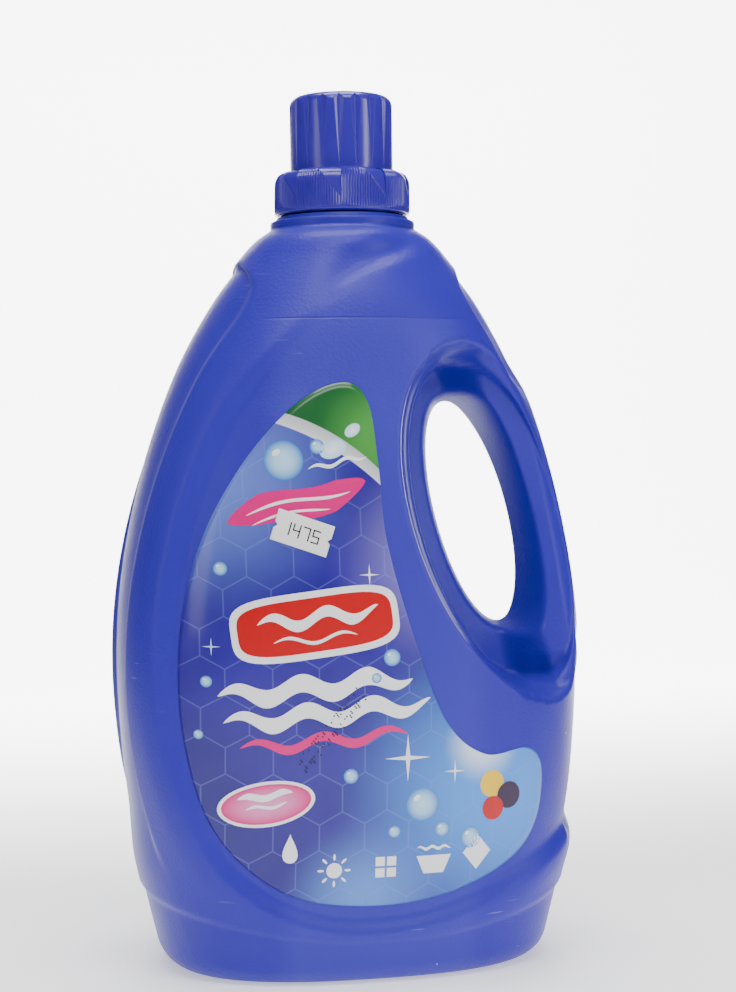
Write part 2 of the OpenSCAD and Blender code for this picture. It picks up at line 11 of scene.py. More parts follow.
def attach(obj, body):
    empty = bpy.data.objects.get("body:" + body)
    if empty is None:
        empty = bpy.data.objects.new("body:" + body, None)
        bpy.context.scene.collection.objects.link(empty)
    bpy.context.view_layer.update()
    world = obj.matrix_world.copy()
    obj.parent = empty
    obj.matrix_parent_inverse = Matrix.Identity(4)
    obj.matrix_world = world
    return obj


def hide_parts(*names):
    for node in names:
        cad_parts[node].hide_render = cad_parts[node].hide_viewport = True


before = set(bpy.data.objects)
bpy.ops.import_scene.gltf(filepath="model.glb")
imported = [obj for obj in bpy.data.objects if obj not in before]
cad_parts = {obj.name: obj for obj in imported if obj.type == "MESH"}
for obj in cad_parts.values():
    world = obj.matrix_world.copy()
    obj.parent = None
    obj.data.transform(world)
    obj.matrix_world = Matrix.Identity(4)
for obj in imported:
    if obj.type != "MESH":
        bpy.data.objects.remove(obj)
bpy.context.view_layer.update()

# The set: a seamless white sweep of paper, a camera a little to the left of the front, at the height
# of the handle, and large soft lights at both sides and overhead.
PHOTO_H, FOCAL_PX, SENSOR_MM = 992, 2100, 36
CAMERA_MM = (-176.7, -831.4, 203.5)
PITCH, YAW, ROLL = math.radians(-1.255), math.radians(12.607), math.radians(-0.716)
PAPER_HALF_W, PAPER_NEAR, PAPER_FLAT, PAPER_BEND, PAPER_TOP = 3500.0, 3000.0, 900.0, 600.0, 3000.0
# The paper's white, and the grey of the painted shade far aside
PAPER_WHITE, PAPER_SHADE_GREY = (0.94, 0.94, 0.94, 1), (0.3, 0.3, 0.3, 1)
# Strengths of the paper's painted glow near the middle, in its pool round the foot and behind the jug, and of
# the room's light
NEAR_LIGHT, POOL_LIGHT, GLOW_LIGHT, ROOM_LIGHT = 0.2, 0.4, 6.0, 0.07
# Soft lights: place and aim in metres, width and height, and power in watts
SOFT_LIGHTS = {
    "light_left": ((-1.2, -0.5, 0.6), (0, 0, 0.18), (0.3, 0.9), 2.6),
    "light_right": ((0.95, -0.95, 0.5), (0, 0, 0.18), (0.22, 0.9), 6),
    "light_top": ((-0.1, -0.8, 1.3), (0, 0, 0.1), (1.1, 0.5), 15),
    "light_over": ((0.0, 0.1, 1.4), (0, 0, 0.1), (0.9, 0.6), 17)}


def link(name, data):
    """A new object in the scene, at the origin."""
    made = bpy.data.objects.new(name, data)
    bpy.context.scene.collection.objects.link(made)
    return made


def mesh_object(name, points_mm, faces, material):
    """A smooth shaded mesh object from points in millimetres and lists of faces."""
    mesh = bpy.data.meshes.new(name)
    mesh.from_pydata((np.asarray(points_mm, float) * 0.001).tolist(), [], faces)
    mesh.polygons.foreach_set("use_smooth", np.full(len(mesh.polygons), True))
    mesh.materials.append(material)
    mesh.update()
    return link(name, mesh)


def add(tree, kind, inputs=(), **settings):
    """A shader node with its settings, its inputs given as numbers or as sockets to link."""
    made = tree.nodes.new("ShaderNode" + kind)
    for key, value in settings.items():
        setattr(made, key, value)
    for key, value in dict(inputs).items():
        if isinstance(value, bpy.types.NodeSocket):
            tree.links.new(value, made.inputs[key])
        else:
            made.inputs[key].default_value = value
    return made


def new_material(name, **sockets):
    """A Principled material, with its sockets' values; returns it with its tree and its shader."""
    made = bpy.data.materials.new(name)
    made.use_nodes = True
    shader = made.node_tree.nodes["Principled BSDF"]
    for key, value in sockets.items():
        shader.inputs[key.replace("_", " ")].default_value = value
    return made, made.node_tree, shader


camera_data = bpy.data.cameras.new("camera")
camera_data.lens = SENSOR_MM * FOCAL_PX / PHOTO_H
camera = link("camera", camera_data)
camera.matrix_world = (Matrix.Translation([c * 0.001 for c in CAMERA_MM])
                       @ Matrix.Rotation(-YAW, 4, "Z") @ Matrix.Rotation(math.pi / 2 + PITCH, 4, "X")
                       @ Matrix.Rotation(ROLL, 4, "Z"))
bpy.context.scene.camera = camera


def calc(tree, operation, *values):
    """A Math node's result; the values are numbers or sockets."""
    return add(tree, "Math", enumerate(values), operation=operation).outputs[0]


def times(tree, a, b):
    """The product of two numbers or sockets."""
    return calc(tree, "MULTIPLY", a, b)


def plus(tree, a, b):
    """The sum of two numbers or sockets."""
    return calc(tree, "ADD", a, b)


def away(tree, value, middle):
    """How far a value lies from a middle one, either way."""
    return calc(tree, "ABSOLUTE", calc(tree, "SUBTRACT", value, middle))


def ramp(tree, value, low, high):
    """0 where a value is at low, 1 where it is at high, and 3 t^2 - 2 t^3 in between."""
    return add(tree, "MapRange", {"Value": value, "From Min": low, "From Max": high},
               interpolation_type="SMOOTHSTEP").outputs[0]


def mix(tree, share, a, b):
    """A share of the way from colour a to colour b."""
    return add(tree, "Mix", {0: share, 6: a, 7: b}, data_type="RGBA").outputs[2]


def object_place(tree):
    """The place on the object in metres, whole and as its three axes."""
    place = add(tree, "TexCoord").outputs["Object"]
    return place, add(tree, "SeparateXYZ", {0: place}).outputs


def paper_material():
    """White paper that glows with painted light near the middle, in a pool round the jug's foot and where it
    stands up behind the jug, and is painted grey as shade far aside.
    """
    made, tree, shader = new_material("sweep_paper", Roughness=0.9, Emission_Color=(1, 1, 1, 1))
    place, axes = object_place(tree)
    reach = add(tree, "VectorMath", {0: place}, operation="LENGTH").outputs["Value"]
    # Painted light: the paper glows near the middle, in a pool round the jug's foot, and where it stands up
    # behind the jug.
    pool = ramp(tree, reach, 0.6, 0.15)
    near = ramp(tree, away(tree, axes[0], 0.15), 1.1, 0.4)
    behind = times(tree, ramp(tree, axes[1], 0.1, 0.85), ramp(tree, away(tree, axes[0], 0.34), 0.62, 0.45))
    glow = times(tree, behind, ramp(tree, axes[2], 1.0, 0.72))
    # Painted shade: the paper's colour greys far aside from the middle.
    tree.links.new(mix(tree, near, PAPER_SHADE_GREY, PAPER_WHITE), shader.inputs["Base Color"])
    on_floor = plus(tree, times(tree, near, NEAR_LIGHT), times(tree, pool, POOL_LIGHT))
    tree.links.new(plus(tree, on_floor, times(tree, glow, GLOW_LIGHT)), shader.inputs["Emission Strength"])
    return made


def sweep_paper():
    """Paper that lies flat to 0.9 m behind the jug, then turns up in a quarter circle of 0.6 m."""
    turn = np.radians(np.linspace(0, 90, 24))
    bend = np.column_stack([PAPER_FLAT + PAPER_BEND * np.sin(turn), PAPER_BEND - PAPER_BEND * np.cos(turn)])
    profile = np.vstack([[[-PAPER_NEAR, 0]], bend, [[PAPER_FLAT + PAPER_BEND, PAPER_TOP]]])
    points = [(x, y, z) for y, z in profile for x in (-PAPER_HALF_W, PAPER_HALF_W)]
    faces = [(2 * i, 2 * i + 1, 2 * i + 3, 2 * i + 2) for i in range(len(profile) - 1)]
    return mesh_object("sweep", points, faces, paper_material())


def soft_light(name, place, aim, size, power):
    """A rectangular soft light, turned towards the point it is aimed at."""
    data = bpy.data.lights.new(name, "AREA")
    data.shape = "RECTANGLE"
    data.size, data.size_y = size
    data.energy = power
    made = link(name, data)
    made.location = place
    made.rotation_euler = (Vector(aim) - Vector(place)).to_track_quat("-Z", "Y").to_euler()


sweep_paper()
for light_name, light in SOFT_LIGHTS.items():
    soft_light(light_name, *light)
world = bpy.data.worlds.new("studio")
world.use_nodes = True
world.node_tree.nodes["Background"].inputs["Color"].default_value = (1, 1, 1, 1)
world.node_tree.nodes["Background"].inputs["Strength"].default_value = ROOM_LIGHT
bpy.context.scene.world = world

# The bottle: one blow-moulded skin of high-density polyethylene, pinched through for the handle. Its
# mould parts at Y = 0. Outside the sunk label panels and below the shoulder it has a fine leather grain.
# Body: height, half width and half depth. Foot: corner, standing ring and the base's push-up
BODY_H, HALF_W, HALF_D = 292.0, 95.0, 74.0
FOOT_R, FOOT_RING, PUSH_UP = 9.0, 7.0, 4.0
# Heel: how far it is set in, its height, its dip at the front and back, and how soft its edge is
HEEL_STEP, HEEL_Z, HEEL_DIP, HEEL_SOFT = 1.4, 31.0, 13.0, 2.2
# Finger hole: middle, half height, half width and lean. Round it the web and the handle bar
GRIP_Z, GRIP_HALF_H, GRIP_HALF_W, GRIP_X, GRIP_LEAN = 178.0, 45.0, 15.4, 52.3, 0.235
BAR_HALF_D, WEB_HALF_T, WEB_RISE, BAR_ROUND, BAR_FLARE = 16.5, 8.0, 0.3, 10.0, 7.0
WEB_EDGE, BAR_EDGE = 4.0, 6.5
# Ovals round the hole: what each adds to its half width, half height, x and height
CREASE, HOLLOW_EDGE, NO_OVAL = (13.6, 17, 2.8, -4), (30.6, 25, 3.6, -2.5), (0, 0, 0, 0)
# Neck: outer and bore radius and height over the body; its root meets the body in a round section
NECK_R, BORE_R, NECK_H, ROOT_R = 22.0, 19.5, 18.0, 29.0
THREAD_Z, THREAD_TURNS, THREAD_PITCH = 300.3, 1.75, 3.6
# Sections: share of the height, of the half width and of the half depth, and the exponent
SECTIONS = np.array([
    [0.00, 0.815, 0.76, 2.5], [0.10, 0.888, 0.865, 2.5], [0.205, 0.953, 0.945, 2.5],
    [0.31, 0.988, 0.985, 2.5], [0.42, 1.0, 1.0, 2.5], [0.52, 0.980, 0.985, 2.45],
    [0.62, 0.926, 0.94, 2.4], [0.72, 0.842, 0.86, 2.3], [0.82, 0.722, 0.755, 2.2],
    [0.90, 0.583, 0.645, 2.1], [0.955, 0.455, 0.55, 2.0], [0.985, 0.372, 0.49, 2.0],
    [1.00, ROOT_R / HALF_W, ROOT_R / HALF_D, 2.0]])
# Flank hollow: depth, width of its edge, ends as shares of the height, and half width by height
FLANK_SINK, FLANK_STEP, FLANK_LOW, FLANK_HIGH, FLANK_END = 2.4, 5.0, 0.13, 0.953, 3.0
FLANK_WIDTHS = np.array([[0.00, 34], [0.13, 34], [0.20, 28], [0.31, 21], [0.42, 20], [0.63, 23],
                         [0.80, 26], [0.87, 28.5], [0.90, 27], [0.918, 24], [0.935, 17], [0.945, 10],
                         [0.951, 5], [1.00, 5]])
# Label panel: depth, width of its wall, the rim outside it, its fade at the top, and the line of its
# wall from the neck round to the heel, as shares of the half width and of the height
PANEL_SINK, PANEL_WALL, PANEL_TOP, PANEL_FADE = 4.0, 7.0, 0.91, 0.15
RIM_RISE, RIM_WIDTH = 0.8, 4.9
PANEL_START = [0.9, 1.07]
PANEL_SWEEP = np.array([
    [0.24, 0.965], [-0.10, 0.915], [-0.40, 0.822], [-0.64, 0.715], [-0.80, 0.575], [-0.86, 0.43],
    [-0.81, 0.29], [-0.64, 0.163], [-0.30, 0.093], [0.10, 0.084], [0.50, 0.120], [0.95, 0.190]])
# Shoulder ledge: a hollow outside the panel's line, from LEDGE_X to LEDGE_END
SHOULDER_SINK, LEDGE_WALL, LEDGE_BAND, LEDGE_LOW = 2.6, 7.0, 14.0, 0.7
LEDGE_X, LEDGE_FADE, LEDGE_END = -0.26, 0.2, 16.0
# The front's relief starts at a depth from the parting line, the flank's a way over and under the hole
FRONT_NONE, FRONT_FADE, GRIP_FADE = 8.0, 14.0, 18.0


def lerp(a, b, t):
    """The value a share t of the way from a to b."""
    return a + (b - a) * t


def smooth(t):
    """3 t^2 - 2 t^3, held at 0 below 0 and at 1 above 1."""
    c = np.clip(t, 0, 1)
    return c * c * (3 - 2 * c)


def rounded(t):
    """A quarter circle's rise, from 0 at t = 0 to 1 at t = 1."""
    c = np.clip(t, 0, 1)
    return np.sqrt(c * (2 - c))


def drafted(t):
    """A drafted wall's rise with a soft top, 1 - (1 - t)^1.5, from 0 at t = 0 to 1 at t = 1."""
    return 1 - (1 - np.clip(t, 0, 1)) ** 1.5


def curve(table, u, k):
    """Cubic pieces through column k of a table, with the slope between a row's two neighbours."""
    x, y = table[:, 0], table[:, k]
    low, high = np.maximum(np.arange(len(x)) - 1, 0), np.minimum(np.arange(len(x)) + 1, len(x) - 1)
    slope = (y[high] - y[low]) / (x[high] - x[low])
    u = np.clip(u, 0, 1)
    i = np.clip(np.searchsorted(x, u) - 1, 0, len(x) - 2)
    h = x[i + 1] - x[i]
    t = (u - x[i]) / h
    return ((2 * t**3 - 3 * t**2 + 1) * y[i] + (t**3 - 2 * t**2 + t) * h * slope[i]
            + (3 * t**2 - 2 * t**3) * y[i + 1] + (t**3 - t**2) * h * slope[i + 1])


def half_w(z):
    """Half width of the plain body at a height."""
    return HALF_W * curve(SECTIONS, z / BODY_H, 1)


def half_d(z):
    """Half depth of the plain body at a height."""
    return HALF_D * curve(SECTIONS, z / BODY_H, 2)


def power(z):
    """Exponent of the section's superellipse: 2 is an ellipse, more is squarer."""
    return curve(SECTIONS, z / BODY_H, 3)


def plain_depth(x, z):
    """Half depth of the superellipse at x: d (1 - |x / w|^n)^(1 / n)."""
    n = power(z)
    return half_d(z) * np.maximum(1 - np.abs(x / half_w(z)) ** n, 0) ** (1 / n)


def grip_mid(z):
    """Middle of the leaning finger hole at a height."""
    return GRIP_X - GRIP_LEAN * (z - GRIP_Z)


def oval_uv(o, x, z):
    """A point in the shares of an oval's half width and half height round the hole."""
    return (x - grip_mid(z) - o[2]) / (GRIP_HALF_W + o[0]), (z - GRIP_Z - o[3]) / (GRIP_HALF_H + o[1])


def oval_reach(o, x, z):
    """Share of the oval's size by which a point lies outside it."""
    return np.hypot(*oval_uv(o, x, z)) - 1


def oval_gap(o, x, z):
    """Distance to the oval: its reach over the reach's own slope."""
    u, v = oval_uv(o, x, z)
    w, h = GRIP_HALF_W + o[0], GRIP_HALF_H + o[1]
    r = np.maximum(np.hypot(u, v), 0.05)
    return (r - 1) / (np.hypot(u / w, v / h - u * GRIP_LEAN / w) / r)


def oval_side(o, z):
    """Half width of an oval at a height."""
    t = (z - GRIP_Z - o[3]) / (GRIP_HALF_H + o[1])
    return (GRIP_HALF_W + o[0]) * np.sqrt(np.maximum(0, 1 - t * t))


def grip_depth(x, z):
    """Half depth of the web and the handle bar, drafted at the hole and rounded at the body's side."""
    gap = np.maximum(oval_gap(NO_OVAL, x, z), 0)
    on_bar = smooth((x - grip_mid(z)) / GRIP_HALF_W + 0.2)
    flare = BAR_FLARE * np.minimum(1.6, ((z - GRIP_Z) / GRIP_HALF_H) ** 2)
    deep = lerp(WEB_HALF_T + WEB_RISE * np.minimum(gap, 20), BAR_HALF_D + flare, on_bar)
    return (deep * drafted(gap / lerp(WEB_EDGE, BAR_EDGE, on_bar))
            * rounded(np.maximum(half_w(z) - x, 0) / BAR_ROUND))


def grip_share(x, z):
    """Share of the handle's form: a steep drop inside the hollow's edge, a lip, and the crease."""
    inner, outer = oval_reach(CREASE, x, z), oval_reach(HOLLOW_EDGE, x, z)
    t = np.where(inner <= 0, 1, np.where(outer >= 0, 0, outer / np.minimum(outer - inner, -1e-6)))
    return 0.5 * smooth(3 * t) + 0.16 * smooth(3 * t - 1) + 0.34 * smooth(3 * t - 2)


def body_depth(x, z):
    """Half depth of the body: the plain one, run into the handle's form inside the hollow."""
    plain = plain_depth(x, z)
    return lerp(plain, np.minimum(grip_depth(x, z), plain), grip_share(x, z))


def flank_half(z):
    """Half width of the hollow down each flank."""
    return curve(FLANK_WIDTHS, z / BODY_H, 1)


def side_x(y, z):
    """Half width of the plain section where it is y deep."""
    n = power(z)
    return half_w(z) * np.maximum(0, 1 - (y / half_d(z)) ** n) ** (1 / n)


def smooth_line(corners, steps):
    """A curve through corners: cubic pieces whose slope at a corner joins its two neighbours."""
    p = np.vstack([corners[:1], corners, corners[-1:]])
    t = np.linspace(0, 1, steps, endpoint=False)[None, :, None]
    a, b, c, d = (p[i:len(p) - 3 + i][:, None, :] for i in range(4))
    line = 0.5 * (2 * b + (c - a) * t + (2 * a - 5 * b + 4 * c - d) * t**2
                  + (3 * b - a - 3 * c + d) * t**3)
    return np.vstack([line.reshape(-1, p.shape[1]), corners[-1:]])


def line_gap(line, x, z):
    """Distance of points to a line of short pieces, positive on the line's left as it runs."""
    best = np.full(np.shape(x), 1e9)
    side = np.ones(np.shape(x))
    for a, b in zip(line[:-1], line[1:]):
        run = b - a
        t = np.clip(((x - a[0]) * run[0] + (z - a[1]) * run[1]) / (run @ run), 0, 1)
        gap = np.hypot(x - a[0] - t * run[0], z - a[1] - t * run[1])
        near = gap < best
        best = np.where(near, gap, best)
        side = np.where(near, np.sign(run[0] * (z - a[1]) - run[1] * (x - a[0])), side)
    return best * np.where(side == 0, 1, side)


panel_line = np.vstack([[PANEL_START], smooth_line(PANEL_SWEEP, 4)]) * [HALF_W, BODY_H]


def relief(x, y, z):
    """How far the surface lies under the plain body: label panel, shoulder ledge and flank hollow."""
    inside = line_gap(panel_line, x, z)
    rim = RIM_RISE * np.exp(-((inside + PANEL_WALL) / RIM_WIDTH) ** 2)
    panel = smooth((PANEL_TOP * BODY_H - z) / (PANEL_FADE * BODY_H))
    panel = panel * (PANEL_SINK * smooth(inside / PANEL_WALL + 0.5) - rim)
    across = smooth((x / HALF_W - LEDGE_X) / LEDGE_FADE) * (1 - smooth((x - LEDGE_END) / LEDGE_END))
    band = smooth(0.5 - inside / LEDGE_WALL) * (1 - smooth(-inside / LEDGE_BAND - 0.1))
    ledge = SHOULDER_SINK * across * band * (z > LEDGE_LOW * BODY_H)
    past_hole = smooth((np.abs(z - GRIP_Z) - GRIP_HALF_H) / GRIP_FADE)
    ends = smooth((z / BODY_H - FLANK_LOW) / 0.1) * smooth((FLANK_HIGH * BODY_H - z) / FLANK_END)
    flank = FLANK_SINK * smooth((flank_half(z) + FLANK_STEP - np.abs(y)) / FLANK_STEP) * ends
    on_face = (1 - grip_share(x, z)) * smooth((np.abs(y) - FRONT_NONE) / FRONT_FADE)
    return (panel + ledge) * on_face + flank * np.where(x > 0, past_hole, 1)


def plain_normal(x, y, z):
    """Direction square to the plain section: the gradient of |x / w|^n + |y / d|^n."""
    w, d, n = half_w(z), half_d(z), power(z)
    gx = np.sign(x) * np.abs(x / w) ** (n - 1) / w
    gy = np.sign(y) * np.abs(y / d) ** (n - 1) / d
    size = np.hypot(gx, gy) + 1e-12
    return gx / size, gy / size


# Columns round the front, from the left side to the right: flank floor, its edge, front, the hollow's
# wall, web, handle bar, edge and floor. The back mirrors them. Rows within EDGE_GAP of the hole's ends
# are its tips.
STEPS = dict(floor=6, edge=4, front=92, wall=30, web=14, bar=40)
WEB_SPREAD, GUIDE_REACH, SEAM_SHIFT, SEAM_WAY, EDGE_GAP = 1.8, 0.92, 0.1, 40.0, 0.01


def columns(z):
    """x of every front column for rows at the heights z, one row each, and the seam column's place."""
    z = z[:, None]
    y = flank_half(z)
    opened = np.abs(z - GRIP_Z) < GRIP_HALF_H - EDGE_GAP
    side = oval_side(NO_OVAL, z)
    low = GRIP_Z - GRIP_HALF_H
    h = np.clip(z, low, GRIP_Z + GRIP_HALF_H)
    seam = (grip_mid(h) / half_w(h) + SEAM_SHIFT * smooth((low - z) / SEAM_WAY)) * half_w(z)
    edge, bar = np.where(opened, grip_mid(z) - side, seam), np.where(opened, grip_mid(z) + side, seam)

    def guide(o):
        """A column along an oval's left side, run on as a share of the width past its ends."""
        middle, reach = GRIP_Z + o[3], GUIDE_REACH * (GRIP_HALF_H + o[1])
        g = np.clip(z, middle - reach, middle + reach)
        return (grip_mid(g) + o[2] - oval_side(o, g)) / half_w(g) * half_w(z)

    def share(count, first=0, last=0):
        """Even steps from 0 towards 1, as one row."""
        return np.arange(first, count + last)[None, :] / count

    rim, out, into = side_x(y + FLANK_STEP, z), guide(HOLLOW_EDGE), guide(CREASE)
    turn = [np.arccos(np.clip(v / half_w(z), -1, 1)) for v in (rim, -out)]
    floor_y = y * share(STEPS["floor"], last=1)
    edge_y = y + FLANK_STEP * share(STEPS["edge"], 1)
    parts = [-side_x(floor_y, z), -side_x(edge_y, z),
             -half_w(z) * np.cos(lerp(turn[0], turn[1], share(STEPS["front"]))),
             lerp(out, into, share(STEPS["wall"])),
             edge - (edge - into) * (1 - share(STEPS["web"])) ** WEB_SPREAD, edge,
             lerp(bar, rim, 0.5 - 0.5 * np.cos(np.pi * share(STEPS["bar"], 1, 1))),
             side_x(edge_y[:, ::-1], z), side_x(floor_y[:, ::-1], z)]
    seam_at = sum(p.shape[1] for p in parts[:5])
    return np.hstack(parts), seam_at


def row_table():
    """Rows of the skin from the push-up to the neck: height, inset and the dip at front and back."""
    ring = FOOT_R + FOOT_RING + HEEL_STEP
    low, high = GRIP_Z - GRIP_HALF_H, GRIP_Z + GRIP_HALF_H
    close = low - 36
    base = [(PUSH_UP, ring + PUSH_UP + 3), (PUSH_UP - 0.1, ring + PUSH_UP), (0.3, ring + 0.6),
            (0, ring - 0.3), (0, ring - FOOT_RING + 0.3)]
    foot = [(FOOT_R - FOOT_R * math.cos(a), FOOT_R - FOOT_R * math.sin(a) + HEEL_STEP)
            for a in np.linspace(0, math.pi / 2, 10)]
    heel = [(z, HEEL_STEP) for z in np.linspace(FOOT_R, HEEL_Z - HEEL_SOFT, 14)[1:-1]]
    step = [(HEEL_Z + HEEL_SOFT * s, HEEL_STEP * (1 - float(smooth((s + 1) / 2))))
            for s in np.linspace(-1, 1, 8)]
    plain = np.concatenate([
        np.linspace(HEEL_Z + HEEL_SOFT, close, 42)[1:-1], np.linspace(close, low, 29)[:-1],
        GRIP_Z - GRIP_HALF_H * np.cos(np.linspace(0, math.pi, 74)), np.linspace(high, BODY_H, 46)[1:]])
    rows = np.vstack([base + foot + heel + step, np.column_stack([plain, 0 * plain])])
    z = rows[:, 0]
    dip = HEEL_DIP * smooth((z - FOOT_R) / (HEEL_Z - FOOT_R)) * smooth((low - z) / (low - HEEL_Z))
    return np.column_stack([rows, dip])


def skin_points():
    """Every loop of the skin as x, y, z: front columns at -depth, mirrored to the back, less the relief."""
    rows = row_table()
    z0, inset, dip = rows[:, 0], rows[:, 1][:, None], rows[:, 2][:, None]
    x, seam = columns(z0)
    last = x.shape[1] - 1
    w = half_w(z0)[:, None]
    z = z0[:, None] - dip * (1 - (x / w) ** 2)
    y = body_depth(x, z) * (1 - inset / half_d(z0)[:, None])
    nx, ny = plain_normal(x, np.maximum(y, 0.01), z)
    sunk = relief(x, y, z)
    x = x * (w - inset) / w - nx * sunk
    y = np.maximum(y - ny * sunk, 0.05)
    y[:, [0, last]] = 0
    from_middle = np.abs(z0 - GRIP_Z)
    opened = from_middle < GRIP_HALF_H - EDGE_GAP
    y[from_middle < GRIP_HALF_H + EDGE_GAP, seam] = 0
    loop = np.concatenate([np.stack([x, -y, z], 2), np.stack([x, y, z], 2)[:, last - 1:0:-1]], 1)
    back = 2 * last - seam
    bar = grip_mid(z0) + oval_side(NO_OVAL, z0)
    loop[opened, back] = np.column_stack([bar, np.zeros_like(z0), z0])[opened]
    return loop, z0, seam


def skin_faces(z0, count, seam):
    """Quads between the loops. In the hole's rows the seam's two slots are the hole's two edges."""
    back = count - seam
    past_end = np.abs(z0 - GRIP_Z) - GRIP_HALF_H
    opened, tip = past_end < -EDGE_GAP, np.abs(past_end) <= EDGE_GAP
    k = np.arange(count)
    on_body = (k < seam) | (k >= back)

    def slot_of(row, column):
        """Place of a loop's point, with the seam's slots joined outside the hole's rows."""
        c = column % count
        at_edge = (c == seam) | (c == back)
        c = np.where((c == back) & tip[row], seam, np.where(at_edge & opened[row],
                     np.where(on_body[None, :], seam, back), c))
        return row * count + c

    r = np.arange(len(z0) - 1)[:, None]
    quads = np.stack([slot_of(r, k), slot_of(r, k + 1), slot_of(r + 1, k + 1), slot_of(r + 1, k)], 2)
    return quads.reshape(-1, 4)


def without_doubles(quads):
    """Faces as lists, with a corner that a quad names twice taken out."""
    flat = (quads[:, 0] == quads[:, 1]) | (quads[:, 2] == quads[:, 3])
    narrow = [list(dict.fromkeys(q)) for q in quads[flat].tolist()]
    return quads[~flat].tolist() + [q for q in narrow if len(q) > 2]


def ring_rows(profile, turn):
    """Points of a revolved profile of radius and height, at the given angles round the axis."""
    r, z = profile.T
    return np.stack([r[:, None] * np.cos(turn), r[:, None] * np.sin(turn),
                     np.repeat(z[:, None], len(turn), 1)], 2)


def neck_profile():
    """Radius and height: the root's step and its ring, the neck, the mouth, its lip and the bore."""
    top = BODY_H + NECK_H
    root = [(0, 0.4), (0.05, 2.4), (-0.1, 3.0), (-0.7, 3.35), (-1.8, 3.4), (-2.2, 3.5), (-2.35, 3.8),
            (-2.4, 4.5), (-2.7, 4.95), (-3.4, 5.05)]
    neck = [(1.0, 5.1), (0.3, 5.3), (0, 5.9)]
    mouth = [(0, -0.6), (-0.15, -0.2), (-0.5, 0)]
    lip = [(0.4, 0), (0.1, -0.1), (0, -0.4)]
    bore = [(0, 0.5), (-0.8, -0.8), (-0.9, -2.5), (1.5, -11), (2.5, -142)]
    parts = ((root, ROOT_R, BODY_H), (neck, NECK_R, BODY_H), (mouth, NECK_R, top), (lip, BORE_R, top),
             (bore, BORE_R, BODY_H))
    return np.vstack([np.add(steps, (radius, height)) for steps, radius, height in parts])


def screen(red, green, blue):
    """A colour's linear values, from its 0 to 255 values on a screen."""
    share = np.array([red, green, blue]) / 255
    return (*np.where(share <= 0.04045, share / 12.92, ((share + 0.055) / 1.055) ** 2.4).tolist(), 1)


def noise(tree, place, scale, detail=2.0):
    """Cloudy noise, about 0.5, with its grains 1 / scale wide."""
    return add(tree, "TexNoise", {"Vector": place, "Scale": scale, "Detail": detail}).outputs["Fac"]


def cells(tree, place, scale, **settings):
    """A cell pattern's distance to the nearest cell's middle, and the colour of that cell."""
    made = add(tree, "TexVoronoi", {"Vector": place, "Scale": scale}, **settings)
    return made.outputs["Distance"], made.outputs["Color"]


def tinted(tree, base, mask, share, colour):
    """A base colour with a screen colour over it, as strong as the mask times a share."""
    return mix(tree, times(tree, mask, share), base, screen(*colour))


def bumped(tree, shader, height, strength, distance):
    """Raises the surface's shading by a height pattern."""
    bump = add(tree, "Bump", {"Height": height, "Strength": strength, "Distance": distance})
    tree.links.new(bump.outputs["Normal"], shader.inputs["Normal"])


def spread(tree, shader, name, base, pattern, range_):
    """Drives one of the shader's inputs: a base value and a pattern's share of a range on top."""
    tree.links.new(plus(tree, base, times(tree, pattern, range_)), shader.inputs[name])


# The insert that the label panel was cut in ends at a straight line, 254 mm up
INSERT_Z, INSERT_FULL, INSERT_END = 0.254, 0.030, 0.044


def bottle_material():
    """Satin blue polyethylene with a fine leather grain, the faint groove of a mould insert with painted
    shade in it and a painted highlight just under it, cloudy gloss, short scuffs and specks of dust."""
    made, tree, shader = new_material("blue_polyethylene", Specular_IOR_Level=0.2)
    place, axes = object_place(tree)
    clouds = noise(tree, place, 14.0, 4.0)
    leather = cells(tree, place, 900.0, feature="SMOOTH_F1")[0]
    pits = noise(tree, place, 2600.0)
    central = ramp(tree, away(tree, axes[0], 0), INSERT_END, INSERT_FULL)
    line = times(tree, ramp(tree, away(tree, axes[2], INSERT_Z), 0.0005, 0.0001), central)
    under = times(tree, ramp(tree, axes[2], INSERT_Z, INSERT_Z - 0.0006), central)
    # A strip just under the insert's line, which gets a painted highlight
    # Dust: a round speck in some of the cells of a pattern, 0.6 mm wide and less
    to_middle, cell_colour = cells(tree, place, 75.0)
    chosen = calc(tree, "GREATER_THAN", add(tree, "SeparateColor", {0: cell_colour}).outputs[0], 0.62)
    speck = times(tree, calc(tree, "LESS_THAN", to_middle, 0.024), chosen)
    # Scuffs: thin stretched noise, kept to a few patches
    rub = add(tree, "Mapping", {"Vector": place, "Rotation": (0.3, 0.9, 0.2), "Scale": (60.0, 60.0, 900.0)})
    scuff = ramp(tree, noise(tree, rub.outputs[0], 1.0, 1.0), 0.70, 0.76)
    scuff = times(tree, scuff, ramp(tree, noise(tree, place, 22.0), 0.60, 0.72))
    blue = mix(tree, clouds, screen(46, 36, 158), screen(54, 45, 172))
    # Painted shade darkens the insert's groove, and a painted highlight lightens the strip just under it.
    blue = tinted(tree, blue, line, 0.22, (28, 34, 110))
    blue = tinted(tree, blue, under, 0.10, (110, 112, 205))
    pale = calc(tree, "MAXIMUM", times(tree, speck, 0.75), times(tree, scuff, 0.22))
    tree.links.new(mix(tree, pale, blue, screen(205, 208, 226)), shader.inputs["Base Color"])
    gloss = plus(tree, 0.33, times(tree, clouds, 0.08))
    spread(tree, shader, "Roughness", gloss, pale, 0.3)
    grain = plus(tree, times(tree, leather, 0.7), times(tree, pits, 0.3))
    bumped(tree, shader, plus(tree, grain, times(tree, line, -1.2)), 0.6, 0.00022)
    return made


